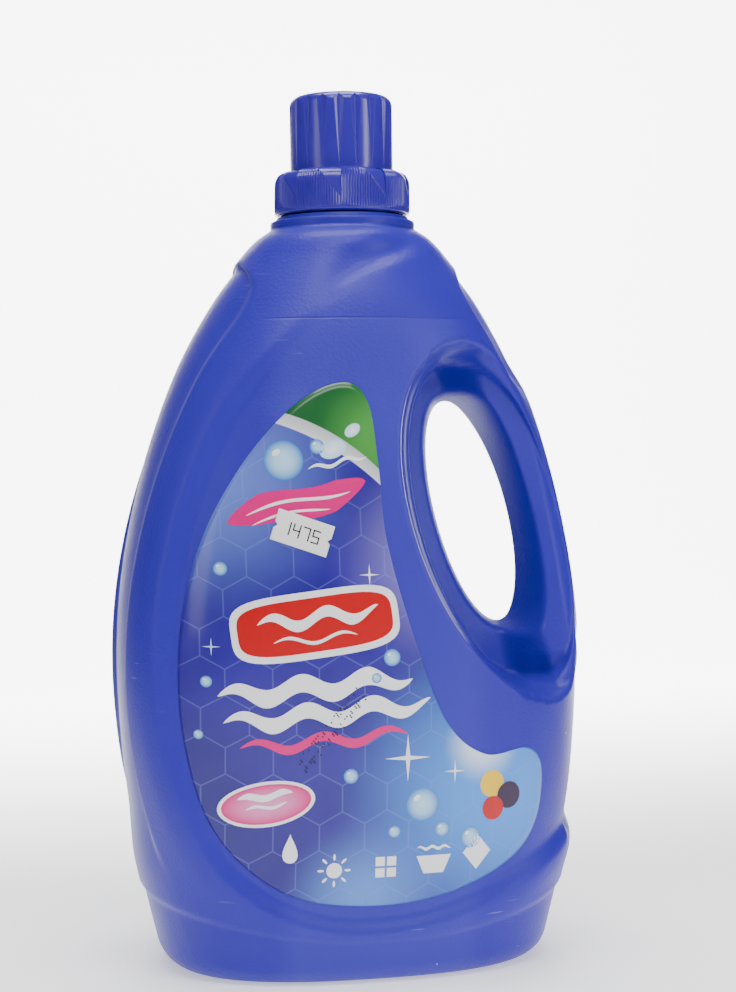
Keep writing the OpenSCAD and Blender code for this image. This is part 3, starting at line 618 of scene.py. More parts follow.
def ring_faces(rows, count, first=0, joined=False):
    """Quads between loops that close round an axis; joined ties the last loop to the first as well."""
    r, k = np.arange(rows if joined else rows - 1)[:, None], np.arange(count)[None, :]
    up, on = (r + 1) % rows, (k + 1) % count
    corners = [r * count + k, r * count + on, up * count + on, up * count + k]
    return (first + np.stack(corners, 2)).reshape(-1, 4).tolist()


def closed_ends(rows, count, first_pole):
    """Triangles that close a shape's first and last loop onto two poles."""
    k = np.arange(count)
    on, last = (k + 1) % count, (rows - 1) * count
    low, high = [on, k, 0 * k + first_pole], [last + k, last + on, 0 * k + first_pole + 1]
    return np.vstack([np.stack(low, 1), np.stack(high, 1)]).tolist()


def joined_shapes(*shapes):
    """Several shapes, each of points and faces, as one."""
    first = np.cumsum([0] + [len(points) for points, _ in shapes]).tolist()
    faces = [[start + i for i in face] for start, (_, own) in zip(first, shapes) for face in own]
    return np.vstack([points for points, _ in shapes]), faces


def thread_ridge(radius, low, turns, pitch, out):
    """A screw thread: a blunt wedge swept up a helix, outwards where out is 1 and inwards where it is -1."""
    wedge = np.array([[-0.4, -1.3], [0.9, -0.55], [1.2, -0.2], [1.2, 0.2], [0.9, 0.55], [-0.4, 1.3]])
    turn = np.linspace(0, 2 * math.pi * turns, int(90 * turns))[:, None]
    grow = lerp(0.1, 1, smooth(np.minimum(turn, turn[-1] - turn) / 0.4))
    r = radius + out * wedge[:, 0] * grow
    points = np.stack([r * np.cos(turn), r * np.sin(turn), low + pitch * turn / (2 * math.pi)
                       + wedge[:, 1] * grow], 2)
    count = len(wedge)
    sides = [face[::-out] for face in ring_faces(len(turn), count)]
    ends = [list(range(count))[::out], list(range(points.size // 3 - count, points.size // 3))[::-out]]
    return points.reshape(-1, 3), sides + ends


def bottle_skin():
    """The whole blown bottle: skin, base, neck with its thread, and the bore down into the bottle."""
    loop, z0, seam = skin_points()
    rows, count = loop.shape[:2]
    profile = neck_profile()
    neck = ring_rows(profile, np.arctan2(loop[-1, :, 1], loop[-1, :, 0]))
    points = np.vstack([loop.reshape(-1, 3), neck.reshape(-1, 3), [[0, 0, PUSH_UP], [0, 0, profile[-1, 1]]]])
    faces = without_doubles(skin_faces(z0, count, seam))
    faces += ring_faces(len(profile) + 1, count, (rows - 1) * count)
    faces += closed_ends(rows + len(profile), count, len(points) - 2)
    thread = thread_ridge(NECK_R, THREAD_Z, THREAD_TURNS, THREAD_PITCH, 1)
    return mesh_object("bottle_skin", *joined_shapes((points, faces), thread), bottle_material())


skin = bottle_skin()
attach(skin, "jug")
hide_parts("bottle")

# The front label: a glossy film, printed with fields of colour, stuck in the sunk panel. Its design is
# generic: bands of colour, waves, bubbles and simple signs.
LABEL_T, GLUE_GAP = 0.25, 0.04
LABEL_SWEEP = np.array([
    [-0.135, 0.785], [-0.035, 0.76], [-0.007, 0.68], [0.013, 0.58], [0.115, 0.455], [0.25, 0.345],
    [0.42, 0.300], [0.62, 0.303], [0.70, 0.275], [0.68, 0.205], [0.55, 0.155], [0.24, 0.116],
    [-0.10, 0.108], [-0.42, 0.130], [-0.68, 0.205], [-0.80, 0.32], [-0.818, 0.45], [-0.733, 0.575],
    [-0.555, 0.68], [-0.33, 0.757]])
LABEL_HEART, LABEL_STEPS, LABEL_RINGS = np.array([-10.0, 75.0]), 12, 42


def on_front(x, z, lift):
    """Points on the bottle's front, raised square to it by a lift."""
    y = body_depth(x, z)
    nx, ny = plain_normal(x, np.maximum(y, 0.01), z)
    sunk = relief(x, y, z) - lift
    return np.stack([x - nx * sunk, ny * sunk - y, z], -1)


# Glows of the print: x and z of the middle, inner and outer radius in millimetres, share and colour
FILM_GLOWS = (
    (-62, 196, 4, 60, 0.6, (120, 150, 240)), (22, 162, 4, 46, 0.6, (158, 146, 228)),
    (-70, 60, 5, 62, 0.6, (30, 20, 112)), (44, 74, 8, 68, 0.95, (70, 150, 240)),
    (-8, 34, 2, 34, 0.7, (100, 160, 240)))
HEX_W, HEX_RISE = 17, 3 ** 0.5 / 2


def film_material():
    """Printed film: a violet field with pale hexagon lines, a sky-blue glow at the right, a green field
    over a white arc at the top, and a clear gloss with faint ripples."""
    made, tree, shader = new_material("printed_film", Specular_IOR_Level=0.25, Coat_Weight=0.35,
                                      Coat_Roughness=0.12)

    def vector(operation, *values, out=0):
        """A Vector Math node's result."""
        return add(tree, "VectorMath", enumerate(values), operation=operation).outputs[out]

    def disc(x, z, inner, outer):
        """1 within an inner radius of a point in millimetres, and 0 beyond an outer one."""
        return ramp(tree, vector("DISTANCE", flat, (x, z, 0), out="Value"), outer, inner)

    def beyond(x, z, radius, soft):
        """In the label's upper part, 1 outside a circle."""
        return times(tree, high, calc(tree, "SUBTRACT", 1, disc(x, z, radius - soft, radius)))

    axes = object_place(tree)[1]
    flat = add(tree, "CombineXYZ", {0: times(tree, axes[0], 1000), 1: times(tree, axes[2], 1000)}).outputs[0]
    # Hexagons: the nearer centre of two shifted grids, and the distance to the cell's edge
    cell = vector("MULTIPLY", flat, (1 / HEX_W, 1 / HEX_W, 0))
    pitch, half = (1.0, 2 * HEX_RISE, 1.0), (0.5, HEX_RISE, 0)
    one, two = (vector("SUBTRACT", vector("WRAP", grid, pitch, (0, 0, 0)), half)
                for grid in (cell, vector("SUBTRACT", cell, half)))
    first = calc(tree, "LESS_THAN", vector("DOT_PRODUCT", one, one, out="Value"),
                 vector("DOT_PRODUCT", two, two, out="Value"))
    near = vector("ABSOLUTE", add(tree, "Mix", {0: first, 4: two, 5: one}, data_type="VECTOR").outputs[1])
    reach = calc(tree, "MAXIMUM", *(vector("DOT_PRODUCT", near, side, out="Value")
                                    for side in ((1, 0, 0), (0.5, HEX_RISE, 0))))
    mottle = ramp(tree, noise(tree, flat, 0.03, 3.0), 0.3, 0.7)
    tint = mix(tree, mottle, screen(42, 27, 132), screen(54, 38, 152))
    for x, z, inner, outer, share, colour in FILM_GLOWS:
        tint = tinted(tree, tint, disc(x, z, inner, outer), share, colour)
    tint = tinted(tree, tint, ramp(tree, reach, 0.475, 0.497), 0.22, (130, 145, 240))
    tint = mix(tree, disc(38, 92, 1, 17), tint, screen(232, 244, 255))
    # The arc between the violet field and the green one is part of a wide ring
    high = ramp(tree, axes[2], 0.150, 0.152)
    shine = mix(tree, disc(-60, 140, 70, 84), screen(176, 182, 186), screen(250, 250, 248))
    leaf = mix(tree, disc(0, 208, 4, 26), screen(24, 92, 44), screen(72, 150, 66))
    tint = mix(tree, beyond(-72, 118, 102, 0.3), tint, shine)
    tint = mix(tree, beyond(-60, 140, 82, 0.3), tint, leaf)
    grain = noise(tree, flat, 4.0)
    tree.links.new(tinted(tree, tint, grain, 0.05, (0, 0, 0)), shader.inputs["Base Color"])
    spread(tree, shader, "Roughness", 0.26, grain, 0.08)
    bumped(tree, shader, noise(tree, flat, 0.12), 0.2, 0.0004)
    return made


def label_film():
    """The film as a closed sheet: its outline drawn in to the heart in steps, in front and behind."""
    around = np.vstack([LABEL_SWEEP[-1:], LABEL_SWEEP, LABEL_SWEEP[:2]])
    outline = smooth_line(around, LABEL_STEPS)[LABEL_STEPS:-LABEL_STEPS - 1] * [HALF_W, BODY_H]
    inwards = 1 - np.linspace(0, 1, LABEL_RINGS)[:-1] ** 1.1
    sheet = LABEL_HEART + inwards[:, None, None] * (outline - LABEL_HEART)
    front = on_front(sheet[..., 0], sheet[..., 1], GLUE_GAP + LABEL_T)
    back = on_front(sheet[::-1, :, 0], sheet[::-1, :, 1], GLUE_GAP)
    poles = on_front(*np.repeat(LABEL_HEART[:, None], 2, 1), np.array([GLUE_GAP, GLUE_GAP + LABEL_T]))
    points = np.vstack([back.reshape(-1, 3), front.reshape(-1, 3), poles])
    rows, count = 2 * len(inwards), len(outline)
    faces = ring_faces(rows, count) + closed_ends(rows, count, len(points) - 2)
    return mesh_object("label_film", points, [face[::-1] for face in faces], film_material())


film = label_film()
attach(film, "jug")
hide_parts("front_label")

# The print on the film: thin layers of opaque ink in their own colours, a few hundredths of a millimetre
# over the film. Waves and a pill lie in the middle, signs along the bottom, and a date code of dots.
INKS = ((246, 247, 250), (24, 22, 30), (222, 0, 122), (196, 4, 14), (240, 140, 200), (180, 222, 250),
        (40, 120, 205), (244, 200, 30), (50, 24, 60))
WHITE, BLACK, MAGENTA, RED, PINK, SKY, AZURE, YELLOW, PLUM = (screen(*ink)[:3] for ink in INKS)
# Places and sizes are in millimetres, leans in degrees.
# Waves: layer, from x, to x, z, rise, swing, wave length, thickness and colour
WAVES = (
    (1, -59, -6, 177, 14, 1.6, 48, 11.5, MAGENTA), (2, -52, -12, 179.5, 10, 1.6, 48, 1.2, WHITE),
    (2, -50, -20, 175.8, 7, 1.6, 48, 0.9, WHITE), (3, -49, -3, 139, 5, 2.2, 21, 4.2, WHITE),
    (3, -43, -11, 132.2, 3, 1.4, 21, 1.3, WHITE), (1, -64, 10, 112.5, 6, 2.4, 25, 6.8, WHITE),
    (1, -62, 17, 102.5, 6, 2.4, 25, 6.0, WHITE), (1, -56, 8, 93, 5, 2.0, 25, 3.6, MAGENTA),
    (3, -57, -36, 73.6, 3, 0.8, 14, 2.6, WHITE), (3, -54, -38, 69.6, 3, 0.8, 14, 1.2, WHITE),
    (1, -28, -5, 196.5, 5, 0.9, 12, 1.4, WHITE), (1, 12, 26, 53, 0, 0.6, 5, 1.2, WHITE))
# Pills: layer, x, z, half width, half height, lean and colour
PILLS = ((1, -27, 139, 32, 12.5, 7, WHITE), (2, -27, 139, 29.5, 10, 7, RED))
# Ovals: layer, x, z, half axes, lean, colours from the middle to the edge and how late they change
OVALS = (
    (1, -46, 72, 18.5, 8.6, 9, WHITE, WHITE, 1), (2, -46, 72, 17, 7.4, 9, PINK, MAGENTA, 2),
    (1, 43, 76, 5.2, 5.2, 0, YELLOW, YELLOW, 1), (2, 50.5, 71, 5.2, 5.2, 0, PLUM, PLUM, 1),
    (3, 43.5, 66.5, 4.6, 4.6, 0, RED, RED, 1), (1, -18, 204, 5.4, 3.4, 20, WHITE, SKY, 1),
    (1, -10, 211, 3.4, 2.2, 35, WHITE, SKY, 1), (1, -20, 46, 3, 3, 0, WHITE, WHITE, 1))
# Sparkles: x, z, size and colour. Bubbles: x, z and radius
STARS = ((8, 88, 9, WHITE), (-6, 157, 4, WHITE), (27, 82, 4.5, WHITE), (-66, 131, 3.5, SKY))
BUBBLES = (
    (-37, 200, 7.5), (-24, 205, 2.8), (-62, 160, 2.6), (2, 126, 3.2), (-4, 118.5, 1.9), (-68, 118, 2.2),
    (14, 70, 6.5), (22, 60, 3), (3, 60, 2.4), (-14, 82, 2.8), (34, 56, 4.2), (-71, 98, 1.8))
# Signs along the bottom: the drop, the sun, four tiles, and the corners of the basin and the diamond
DROP, SUN, SUN_RAY, SUN_RAYS = (-37, 55, 4.4), (-20, 46), (5.2, 1.3, 0.5), 8
TILE, TILE_STEP, TILE_CORNER = 3.6, 4.4, (-4, 42.5)
SIGNS = (((15, 43), (23, 43), (26, 50), (12, 50)), ((37, 43), (43, 50), (37, 57), (31, 50)))
# Date code: corner, steps along and across the two lines, dots along them and the radius of a dot
CODE_CORNER, CODE_ALONG, CODE_ACROSS, CODE_DOTS, DOT_R = (-31, 84), (0.78, 0.92), (-0.5, 0.62), 30, 0.36
INK_LIFT, INK_STEP = 0.02, 0.04


def drawn_in(outline, inner, outer, steps=None, bend=1.0):
    """A filled outline: its points drawn in to their middle in steps, with colours from inner to outer."""
    middle = outline.mean(0)
    size = np.abs(outline - middle).max()
    steps = steps or max(2, int(size / 1.6) + 1)
    share = np.linspace(0.001, 1, steps + 1)[:, None, None]
    grid = middle + share * (outline - middle)
    colours = lerp(np.array(inner), np.array(outer), share ** bend) + 0 * grid[..., :1]
    return np.concatenate([grid, grid[:, :1]], 1), np.concatenate([colours, colours[:, :1]], 1)


def turned(x, z, u, v, lean):
    """Points u and v turned by lean degrees about the middle at x and z."""
    c, s = math.cos(math.radians(lean)), math.sin(math.radians(lean))
    return np.column_stack([x + u * c - v * s, z + u * s + v * c])


def oval(x, z, a, b, lean=0.0, count=40):
    """An ellipse's outline, of half axes a and b, turned by lean degrees."""
    turn = np.linspace(0, 2 * math.pi, count, endpoint=False)
    return turned(x, z, a * np.cos(turn), b * np.sin(turn), lean)


def pill(x, z, a, b, lean):
    """The outline of a bar with round ends: an ellipse's squared-off kin, |u/a|^4 + |v/b|^4 = 1."""
    turn = np.linspace(0, 2 * math.pi, 72, endpoint=False)
    reach = (np.abs(np.cos(turn)) ** 4 + np.abs(np.sin(turn)) ** 4) ** -0.25
    return turned(x, z, a * reach * np.cos(turn), b * reach * np.sin(turn), lean)


def edged(corners, step=1.6):
    """An outline of straight sides, with points every step along them."""
    corners = np.asarray(corners, float)
    sides = zip(corners, np.roll(corners, -1, 0))
    return np.vstack([a + (b - a) * np.arange(n := max(1, int(np.hypot(*(b - a)) / step)))[:, None] / n
                      for a, b in sides])


def wave(x0, x1, z, rise, swing, length, thick, colour):
    """A wavy stripe from x0 to x1 that climbs by a rise; it is thick in its middle and thin at its ends."""
    t = np.linspace(0, 1, int((x1 - x0) / 1.2) + 2)[None, :]
    across = np.linspace(-0.5, 0.5, 5)[:, None]
    x = lerp(x0, x1, t) + 0 * across
    body = thick * np.minimum(1, 4.5 * np.minimum(t, 1 - t)) ** 0.6
    height = z + rise * t + swing * np.sin(2 * math.pi * (x - x0) / length) + across * (body + 0.02)
    grid = np.stack([x, height], 2)
    return grid, np.broadcast_to(np.array(colour), (*grid.shape[:2], 3))


def star(x, z, size, colour):
    """A sparkle with four thin points."""
    turn = np.radians(np.arange(0, 360, 45))
    reach = np.where(np.arange(8) % 2, 0.13, 1) * size
    corners = np.column_stack([x + reach * np.cos(turn), z + reach * np.sin(turn)])
    return drawn_in(edged(corners), colour, colour)


def drop(x, z, size, colour):
    """A falling drop, round below and pointed above."""
    turn = np.linspace(0, 2 * math.pi, 36, endpoint=False)
    wide = size * np.sin(turn) * np.sin(turn / 2) ** 1.6
    return drawn_in(np.column_stack([x + 0.95 * wide, z + 1.3 * size * np.cos(turn)]), colour, colour)


def bubble(x, z, r):
    """A glossy bubble: pale middle, deeper rim and a white spark, as two layers."""
    return [(1, drawn_in(oval(x, z, r, r), SKY, AZURE, bend=2.2)),
            (2, drawn_in(oval(x - 0.35 * r, z + 0.4 * r, 0.24 * r, 0.15 * r, 35, 16), WHITE, WHITE))]


def label_design():
    """Every printed shape as a layer number with its grid and colours, at places in x and z."""
    shapes = [(layer, wave(*spec)) for layer, *spec in WAVES]
    shapes += [(layer, drawn_in(pill(*spec), colour, colour)) for layer, *spec, colour in PILLS]
    shapes += [(layer, drawn_in(oval(*spec), inner, outer, bend=bend))
               for layer, *spec, inner, outer, bend in OVALS]
    shapes += [(1, star(*spec)) for spec in STARS] + [(1, drop(*DROP, WHITE))]
    shapes += [layer for spec in BUBBLES for layer in bubble(*spec)]
    way, length, width = SUN_RAY
    for turn in np.arange(SUN_RAYS) * 2 * math.pi / SUN_RAYS:
        x, z = SUN[0] + way * math.cos(turn), SUN[1] + way * math.sin(turn)
        shapes.append((1, drawn_in(oval(x, z, length, width, math.degrees(turn), 12), WHITE, WHITE)))
    tile = np.array([(0, 0), (TILE, 0), (TILE, TILE), (0, TILE)])
    tiles = [tile + TILE_CORNER + np.array(place) * TILE_STEP for place in ((0, 0), (1, 0), (0, 1), (1, 1))]
    shapes += [(1, drawn_in(edged(corners), WHITE, WHITE)) for corners in (*tiles, *SIGNS)]
    # The date code: some of the dots of two slanting lines, each three dots wide
    for i, j in ((i, j) for i in range(CODE_DOTS) for j in (0, 1, 2, 5, 6, 7)):
        if (7 * i * i + 5 * j * i + 3 * j) % 11 < 5:
            x, z = np.add(CODE_CORNER, np.multiply(CODE_ALONG, i) + np.multiply(CODE_ACROSS, j))
            shapes.append((4, drawn_in(oval(x, z, DOT_R, DOT_R, count=6), BLACK, BLACK, 1)))
    return shapes


def printed(shapes, first_lift, lift_step):
    """Points, faces and colours of printed shapes; each layer lies a step over the last."""
    points, faces, colours, start = [], [], [], 0
    for layer, (grid, shade) in shapes:
        rows, count = grid.shape[:2]
        points.append(on_front(grid[..., 0], grid[..., 1], first_lift + lift_step * layer).reshape(-1, 3))
        colours.append(shade.reshape(-1, 3))
        i = start + np.arange(rows - 1)[:, None] * count + np.arange(count - 1)[None, :]
        quads = np.stack([i, i + 1, i + count + 1, i + count], 2).reshape(-1, 4)
        a, b = grid[1, 1] - grid[0, 1], grid[1, 2] - grid[1, 1]
        faces += (quads[:, ::-1] if b[1] * a[0] > b[0] * a[1] else quads).tolist()
        start += rows * count
    return np.vstack(points), faces, np.vstack(colours)


def ink_material(name, roughness, fibre):
    """Ink in the colours of the mesh's own attribute, a little uneven, with a fine bump under it."""
    made, tree, shader = new_material(name, Specular_IOR_Level=0.25, Coat_Weight=0.25, Coat_Roughness=0.15)
    colour = add(tree, "Attribute", attribute_name="ink").outputs["Color"]
    uneven = noise(tree, object_place(tree)[0], 1800.0)
    shade = mix(tree, times(tree, uneven, 0.10), colour, (0.1, 0.1, 0.12, 1))
    tree.links.new(shade, shader.inputs["Base Color"])
    spread(tree, shader, "Roughness", roughness, uneven, 0.1)
    bumped(tree, shader, uneven, 0.2, fibre)
    return made


def coloured(made, colours):
    """Stores a colour for each point of a mesh object."""
    layer = made.data.color_attributes.new("ink", "FLOAT_COLOR", "POINT")
    layer.data.foreach_set("color", np.column_stack([colours, np.ones(len(colours))]).ravel())
    return made


*print_shape, print_colours = printed(label_design(), GLUE_GAP + LABEL_T + INK_LIFT, INK_STEP)
label_print = coloured(mesh_object("label_print", *print_shape, ink_material("label_ink", 0.28, 0.00003)),
                       print_colours)
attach(label_print, "jug")

# The price sticker: thin white paper from a price gun, with notched ends, stuck on the film at a slant.
# It carries plain numbers.
STICKER_W, STICKER_H, STICKER_T, STICKER_LIFT = 22.0, 12.0, 0.2, 0.18
STICKER_X, STICKER_Z, STICKER_SLANT = -31.0, 173.0, 19.0
# How far the two ends curl up, and the share of the half width from which they do
CURL_RIGHT, CURL_RIGHT_FROM, CURL_LEFT, CURL_LEFT_FROM = 0.5, 0.72, 0.25, 0.8
# Numbers: width, height, half stroke, step, place of the first one, and the strokes of each
DIGIT_W, DIGIT_H, STROKE_HALF, DIGIT_STEP, DIGIT_U, DIGIT_V = 2.4, 4.6, 0.26, 3.8, -7.4, -2.3
STROKES = {"top": (0, 1, 1, 1), "mid": (0, 0.5, 1, 0.5), "low": (0, 0, 1, 0), "tl": (0, 0.5, 0, 1),
           "tr": (1, 0.5, 1, 1), "br": (1, 0, 1, 0.5)}
DIGITS = ("tr br", "tl tr mid br", "top tr br", "top tl mid br low")


def slanted(place):
    """Places on the sticker, turned clockwise about its middle and set on the label."""
    turn = math.radians(STICKER_SLANT)
    c, s = math.cos(turn), math.sin(turn)
    u, v = place[..., 0], place[..., 1]
    return np.stack([STICKER_X + u * c + v * s, STICKER_Z - u * s + v * c], -1)


def digit(u, v, strokes):
    """A plain number made of straight strokes, with its lower left corner at u and v."""
    shapes = []
    for name in strokes.split():
        start, end = np.reshape(STROKES[name], (2, 2)) * (DIGIT_W, DIGIT_H) + (u, v)
        along = (end - start) / np.hypot(*(end - start)) * STROKE_HALF
        side = np.array([-along[1], along[0]])
        start, end = start - along, end + along
        corners = edged([start - side, end - side, end + side, start + side])
        shapes.append((1, drawn_in(slanted(corners), BLACK, BLACK)))
    return shapes


def price_tag():
    """The sticker as a closed sheet with slightly lifted ends, and its numbers."""
    w, h, notch = STICKER_W / 2, STICKER_H / 2, STICKER_H / 10
    right = [(w, -h), (w, -notch), (w - notch, 0), (w, notch), (w, h)]
    flat = np.linspace(0.001, 1, 10)[:, None, None] * edged(
        [(-w, -h), *right, (-w, h), (-w, notch), (notch - w, 0), (-w, -notch)], 1.0)
    sheet = slanted(flat)
    under = 2 * GLUE_GAP + LABEL_T + STICKER_LIFT
    reach = flat[..., 0] / w
    curl = (CURL_RIGHT * smooth((reach - CURL_RIGHT_FROM) / (1 - CURL_RIGHT_FROM))
            + CURL_LEFT * smooth((-reach - CURL_LEFT_FROM) / (1 - CURL_LEFT_FROM)))
    front = on_front(sheet[..., 0], sheet[..., 1], under + STICKER_T + curl)
    back = on_front(sheet[..., 0], sheet[..., 1], under + curl)
    rows, count = sheet.shape[:2]
    points = np.vstack([front.reshape(-1, 3), back[::-1].reshape(-1, 3)])
    paper_colours = np.tile(screen(243, 243, 241)[:3], (len(points), 1))
    shapes = [stroke for i, n in enumerate(DIGITS) for stroke in digit(DIGIT_U + DIGIT_STEP * i, DIGIT_V, n)]
    *ink_shape, ink_colours = printed(shapes, under + STICKER_T - 0.02, 0.05)
    whole = joined_shapes((points, ring_faces(2 * rows, count)), ink_shape)
    return coloured(mesh_object("price_tag", *whole, ink_material("price_paper", 0.55, 0.00005)),
                    np.vstack([paper_colours, ink_colours]))


tag = price_tag()
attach(tag, "jug")
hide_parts("price_sticker")

# The pouring spout: a pale injection-moulded insert, pressed in the neck. Its solid already has the right
# shape, so it only gets its material.
def moulded_plastic(name, low, high, roughness, scale):
    """Smooth moulded plastic with a cloudy tint and faint flow marks."""
    made, tree, shader = new_material(name, Specular_IOR_Level=0.5)
    place = object_place(tree)[0]
    clouds = noise(tree, place, 60.0, 3.0)
    tree.links.new(mix(tree, clouds, screen(*low), screen(*high)), shader.inputs["Base Color"])
    spread(tree, shader, "Roughness", roughness, clouds, 0.12)
    bumped(tree, shader, noise(tree, place, scale), 0.15, 0.00004)
    return made


def dressed(node, material):
    """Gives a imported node's own shape a better material."""
    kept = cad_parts[node]
    kept.data.materials.clear()
    kept.data.materials.append(material)


dressed("pour_spout", moulded_plastic("spout_plastic", (224, 228, 232), (238, 240, 243), 0.30, 1500.0))

# The sealing ring: a flat washer cut from soft grey foam sheet. It is pushed up to the cap's ceiling and
# seals on the spout's flange. It keeps its solid's shape as well.
dressed("seal_ring", moulded_plastic("seal_foam", (176, 180, 186), (196, 199, 204), 0.62, 2500.0))

# The closure: one glossy polypropylene moulding. A dosing cup with V flutes stands on a skirt whose nine
# saw teeth carry fine upright ribs; inside, the skirt's thread screws down on the neck.
# Cup: radius, wall, rounding and top, and the ceiling of the skirt. Flutes: number, depth, half width and
# how they end below the top
CUP_R, CUP_WALL, CUP_ROUND, CUP_TOP, CEILING_Z, POLE_R = 20.7, 1.5, 4.0, 345.5, 312.7, 2.0
FLUTES, FLUTE_DEPTH, FLUTE_HALF_W, FLUTE_END = 19, 1.4, 2.2, 2.2
FLUTE_SHARES, LAND_SHARES = np.array([0, 0.1, 0.5, 0.92, 1.0]), np.array([0.06, 0.35, 0.7])
# Skirt: radius, lower and upper end, bore and roundings. Teeth: number, phase and span in degrees
SKIRT_R, SKIRT_LOW, SKIRT_TOP, SKIRT_BORE_R, SKIRT_ROUND, LIP_ROUND = 27.3, 297.7, 315.0, 24.6, 4.5, 1.2
TEETH, TOOTH_PHASE, TOOTH_DEPTH, TOOTH_GAP, FACET_SPAN, TIP_RISE = 9, 17.5, 1.5, 0.05, 26.0, 4.0
RIBS, RIB_DEPTH, RIB_COLUMNS = 17, 0.32, 6
BELOW = np.array([0, 0.08, 0.2, 0.35, 0.5, 0.65, 0.8, 0.9, 0.97, 1.0])[:, None]
ABOVE = np.array([0.02, 0.06, 0.14, 0.24, 0.34, 0.44, 0.54, 0.64, 0.74, 0.84, 0.93, 1.0])[:, None]
LIP_STEPS, ROUND_STEPS, CAP_THREAD_Z, CAP_THREAD_TURNS = 9, 30, 301.2, 1.5
SHARP_FROM = 38


def corner_arc(r, z, radius, start, stop, steps):
    """Profile points on an arc about r and z."""
    a = np.radians(np.linspace(start, stop, steps))
    return np.column_stack([r + radius * np.cos(a), z + radius * np.sin(a)])


def flute_turns(deep):
    """Angles of every column round the cup and how far it falls in there: a V between flat lands."""
    half = np.maximum(deep / FLUTE_DEPTH * FLUTE_HALF_W, 0.04) / CUP_R
    period = 2 * math.pi / FLUTES
    side = np.hstack([half * FLUTE_SHARES, half + (period / 2 - half) * LAND_SHARES])
    turn = np.hstack([-period / 2 + 0 * half, -side[:, :0:-1], side])
    fall = deep * np.maximum(0, 1 - np.maximum(np.abs(turn) / half, 0.1))
    return np.hstack([turn + period * (i + 0.5) for i in range(FLUTES)]), np.tile(fall, FLUTES)


def cup_shape():
    """The cup: from the inner ceiling down the bore, round the lower edge, up the fluted side to the top."""
    bore, floor = CUP_R - CUP_WALL, CUP_TOP - CUP_WALL
    side_z = np.linspace(SKIRT_TOP - 0.4, CUP_TOP - CUP_ROUND, 34)
    inside = np.vstack([[[POLE_R, floor]],
                        corner_arc(bore - CUP_ROUND, floor - CUP_ROUND, CUP_ROUND, 90, 0, 7),
                        [[bore, CEILING_Z]]])
    outside = np.vstack([
        [[CUP_R, CEILING_Z]], np.column_stack([CUP_R + 0.3 * smooth((SKIRT_TOP + 1 - side_z) / 1.4), side_z]),
        corner_arc(CUP_R - CUP_ROUND, CUP_TOP - CUP_ROUND, CUP_ROUND, 0, 90, 12)[1:],
        [[13, CUP_TOP], [POLE_R, CUP_TOP - 0.05]]])
    r, z = np.vstack([inside, outside]).T[:, :, None]
    climb = np.clip((z - SKIRT_TOP - 1) / (CUP_TOP - SKIRT_TOP - 2), 0, 1)
    outer = np.arange(len(r))[:, None] > len(inside)
    turn, fall = flute_turns(FLUTE_DEPTH * climb * outer * smooth((CUP_TOP - 0.9 - z) / FLUTE_END))
    loops = np.stack([(r - fall) * np.cos(turn), (r - fall) * np.sin(turn), z + 0 * turn], 2)
    rows, count = loops.shape[:2]
    points = np.vstack([loops.reshape(-1, 3), [[0, 0, z[0, 0]], [0, 0, z[-1, 0]]]])
    return points, ring_faces(rows, count) + closed_ends(rows, count, len(points) - 2)


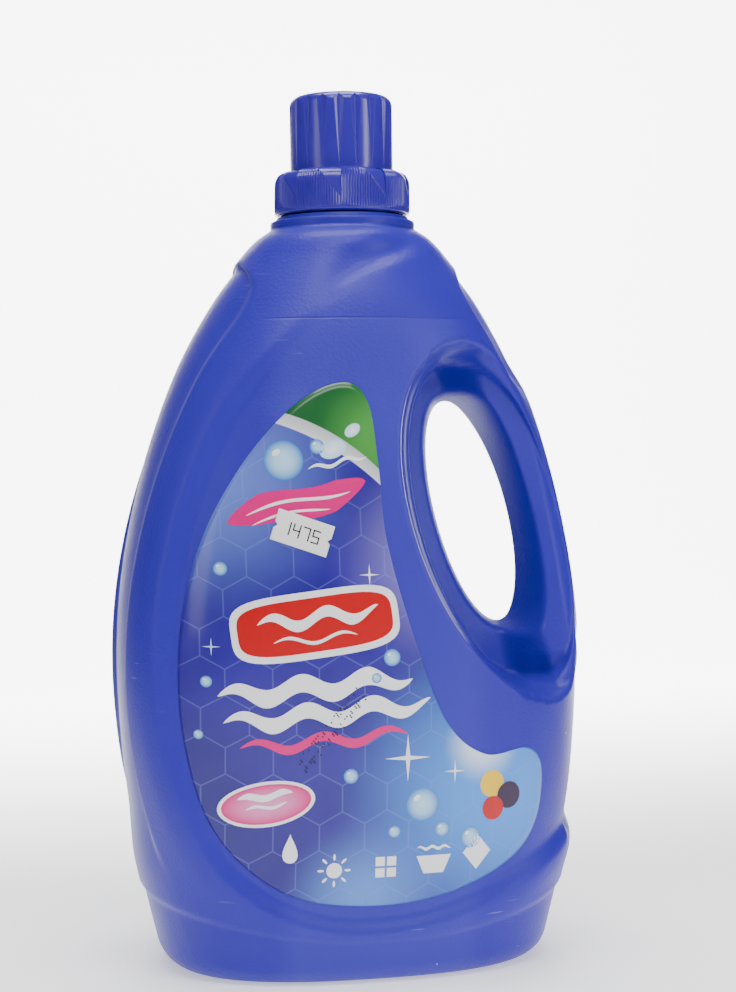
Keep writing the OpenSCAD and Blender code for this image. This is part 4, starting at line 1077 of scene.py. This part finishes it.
def skirt_shape():
    """The skirt as a closed ring. Round each tooth, one line climbs down from the shoulder to a low tip at
    the next tooth's step; under the line the side is ribbed, and over it a smooth facet falls inwards."""
    lip = corner_arc(SKIRT_R - LIP_ROUND, SKIRT_LOW + LIP_ROUND, LIP_ROUND, -90, 0, LIP_STEPS)
    shoulder = corner_arc(SKIRT_R - SKIRT_ROUND, SKIRT_TOP - SKIRT_ROUND, SKIRT_ROUND, 0, 90, ROUND_STEPS)
    path = np.vstack([lip, shoulder, [[CUP_R - 0.6, SKIRT_TOP]]])
    length = np.append(0, np.cumsum(np.hypot(*np.diff(path, axis=0).T)))
    way = np.gradient(path, length, axis=0)
    way /= np.hypot(*way.T)[:, None]
    lip_end, round_start, round_end = length[[LIP_STEPS - 1, LIP_STEPS, LIP_STEPS + ROUND_STEPS - 1]]
    tip, pitch = lip_end + TIP_RISE, 360 / TEETH
    angle = np.linspace(TOOTH_GAP, pitch - TOOTH_GAP, RIBS * RIB_COLUMNS)
    line = lerp(round_end, tip, np.clip((angle - pitch + FACET_SPAN) / FACET_SPAN, 0, 1))[None, :]
    side_start = lip_end + 0.4
    edge = np.linspace(0, side_start, 6)[:-1, None] + 0 * line
    s = np.vstack([edge, lerp(side_start, line, BELOW), lerp(line, length[-1], ABOVE)])
    over_round = smooth((s - round_start) / (round_end - round_start))
    facet = (TOOTH_DEPTH * np.clip((s - line) / (round_end - tip), 0, 1)
             * (1 - 0.7 * over_round) * smooth((length[-1] - s) / 1.8))
    comb = 0.5 - 0.5 * np.cos(2 * math.pi * RIBS * (angle - TOOTH_GAP) / (pitch - 2 * TOOTH_GAP))
    sunk = facet + RIB_DEPTH * comb * smooth((line - s) / 0.5 + 0.5) * smooth((s - lip_end) / 0.8)
    r = np.interp(s, length, path[:, 0]) - sunk * np.interp(s, length, way[:, 1])
    z = np.interp(s, length, path[:, 1]) + sunk * np.interp(s, length, way[:, 0])
    inner_r, low_r = CUP_R - CUP_WALL + 0.2, SKIRT_BORE_R + 0.5
    inner = np.array([[inner_r, SKIRT_TOP - 0.1], [inner_r, CEILING_Z], [SKIRT_BORE_R - 0.3, CEILING_Z],
                      [SKIRT_BORE_R, CEILING_Z - 0.3], [SKIRT_BORE_R, SKIRT_LOW + 0.5], [low_r, SKIRT_LOW]])
    r, z = (np.tile(np.vstack([outer, inner[:, [k]] + 0 * line]), TEETH) for k, outer in enumerate((r, z)))
    turn = np.radians(TOOTH_PHASE + np.hstack([angle + pitch * i for i in range(TEETH)]))
    loops = np.stack([r * np.cos(turn), r * np.sin(turn), z], 2)
    return loops.reshape(-1, 3), ring_faces(*loops.shape[:2], joined=True)


def cap_moulding():
    """Cup, skirt and inner thread, run into one another as the mould makes them."""
    thread = thread_ridge(SKIRT_BORE_R, CAP_THREAD_Z, CAP_THREAD_TURNS, THREAD_PITCH, -1)
    blue = moulded_plastic("cap_polypropylene", (50, 35, 150), (57, 41, 165), 0.15, 900.0)
    made = mesh_object("cap_moulding", *joined_shapes(cup_shape(), skirt_shape(), thread), blue)
    made.data.set_sharp_from_angle(angle=math.radians(SHARP_FROM))
    return made


cap = cap_moulding()
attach(cap, "closure")
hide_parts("cap")
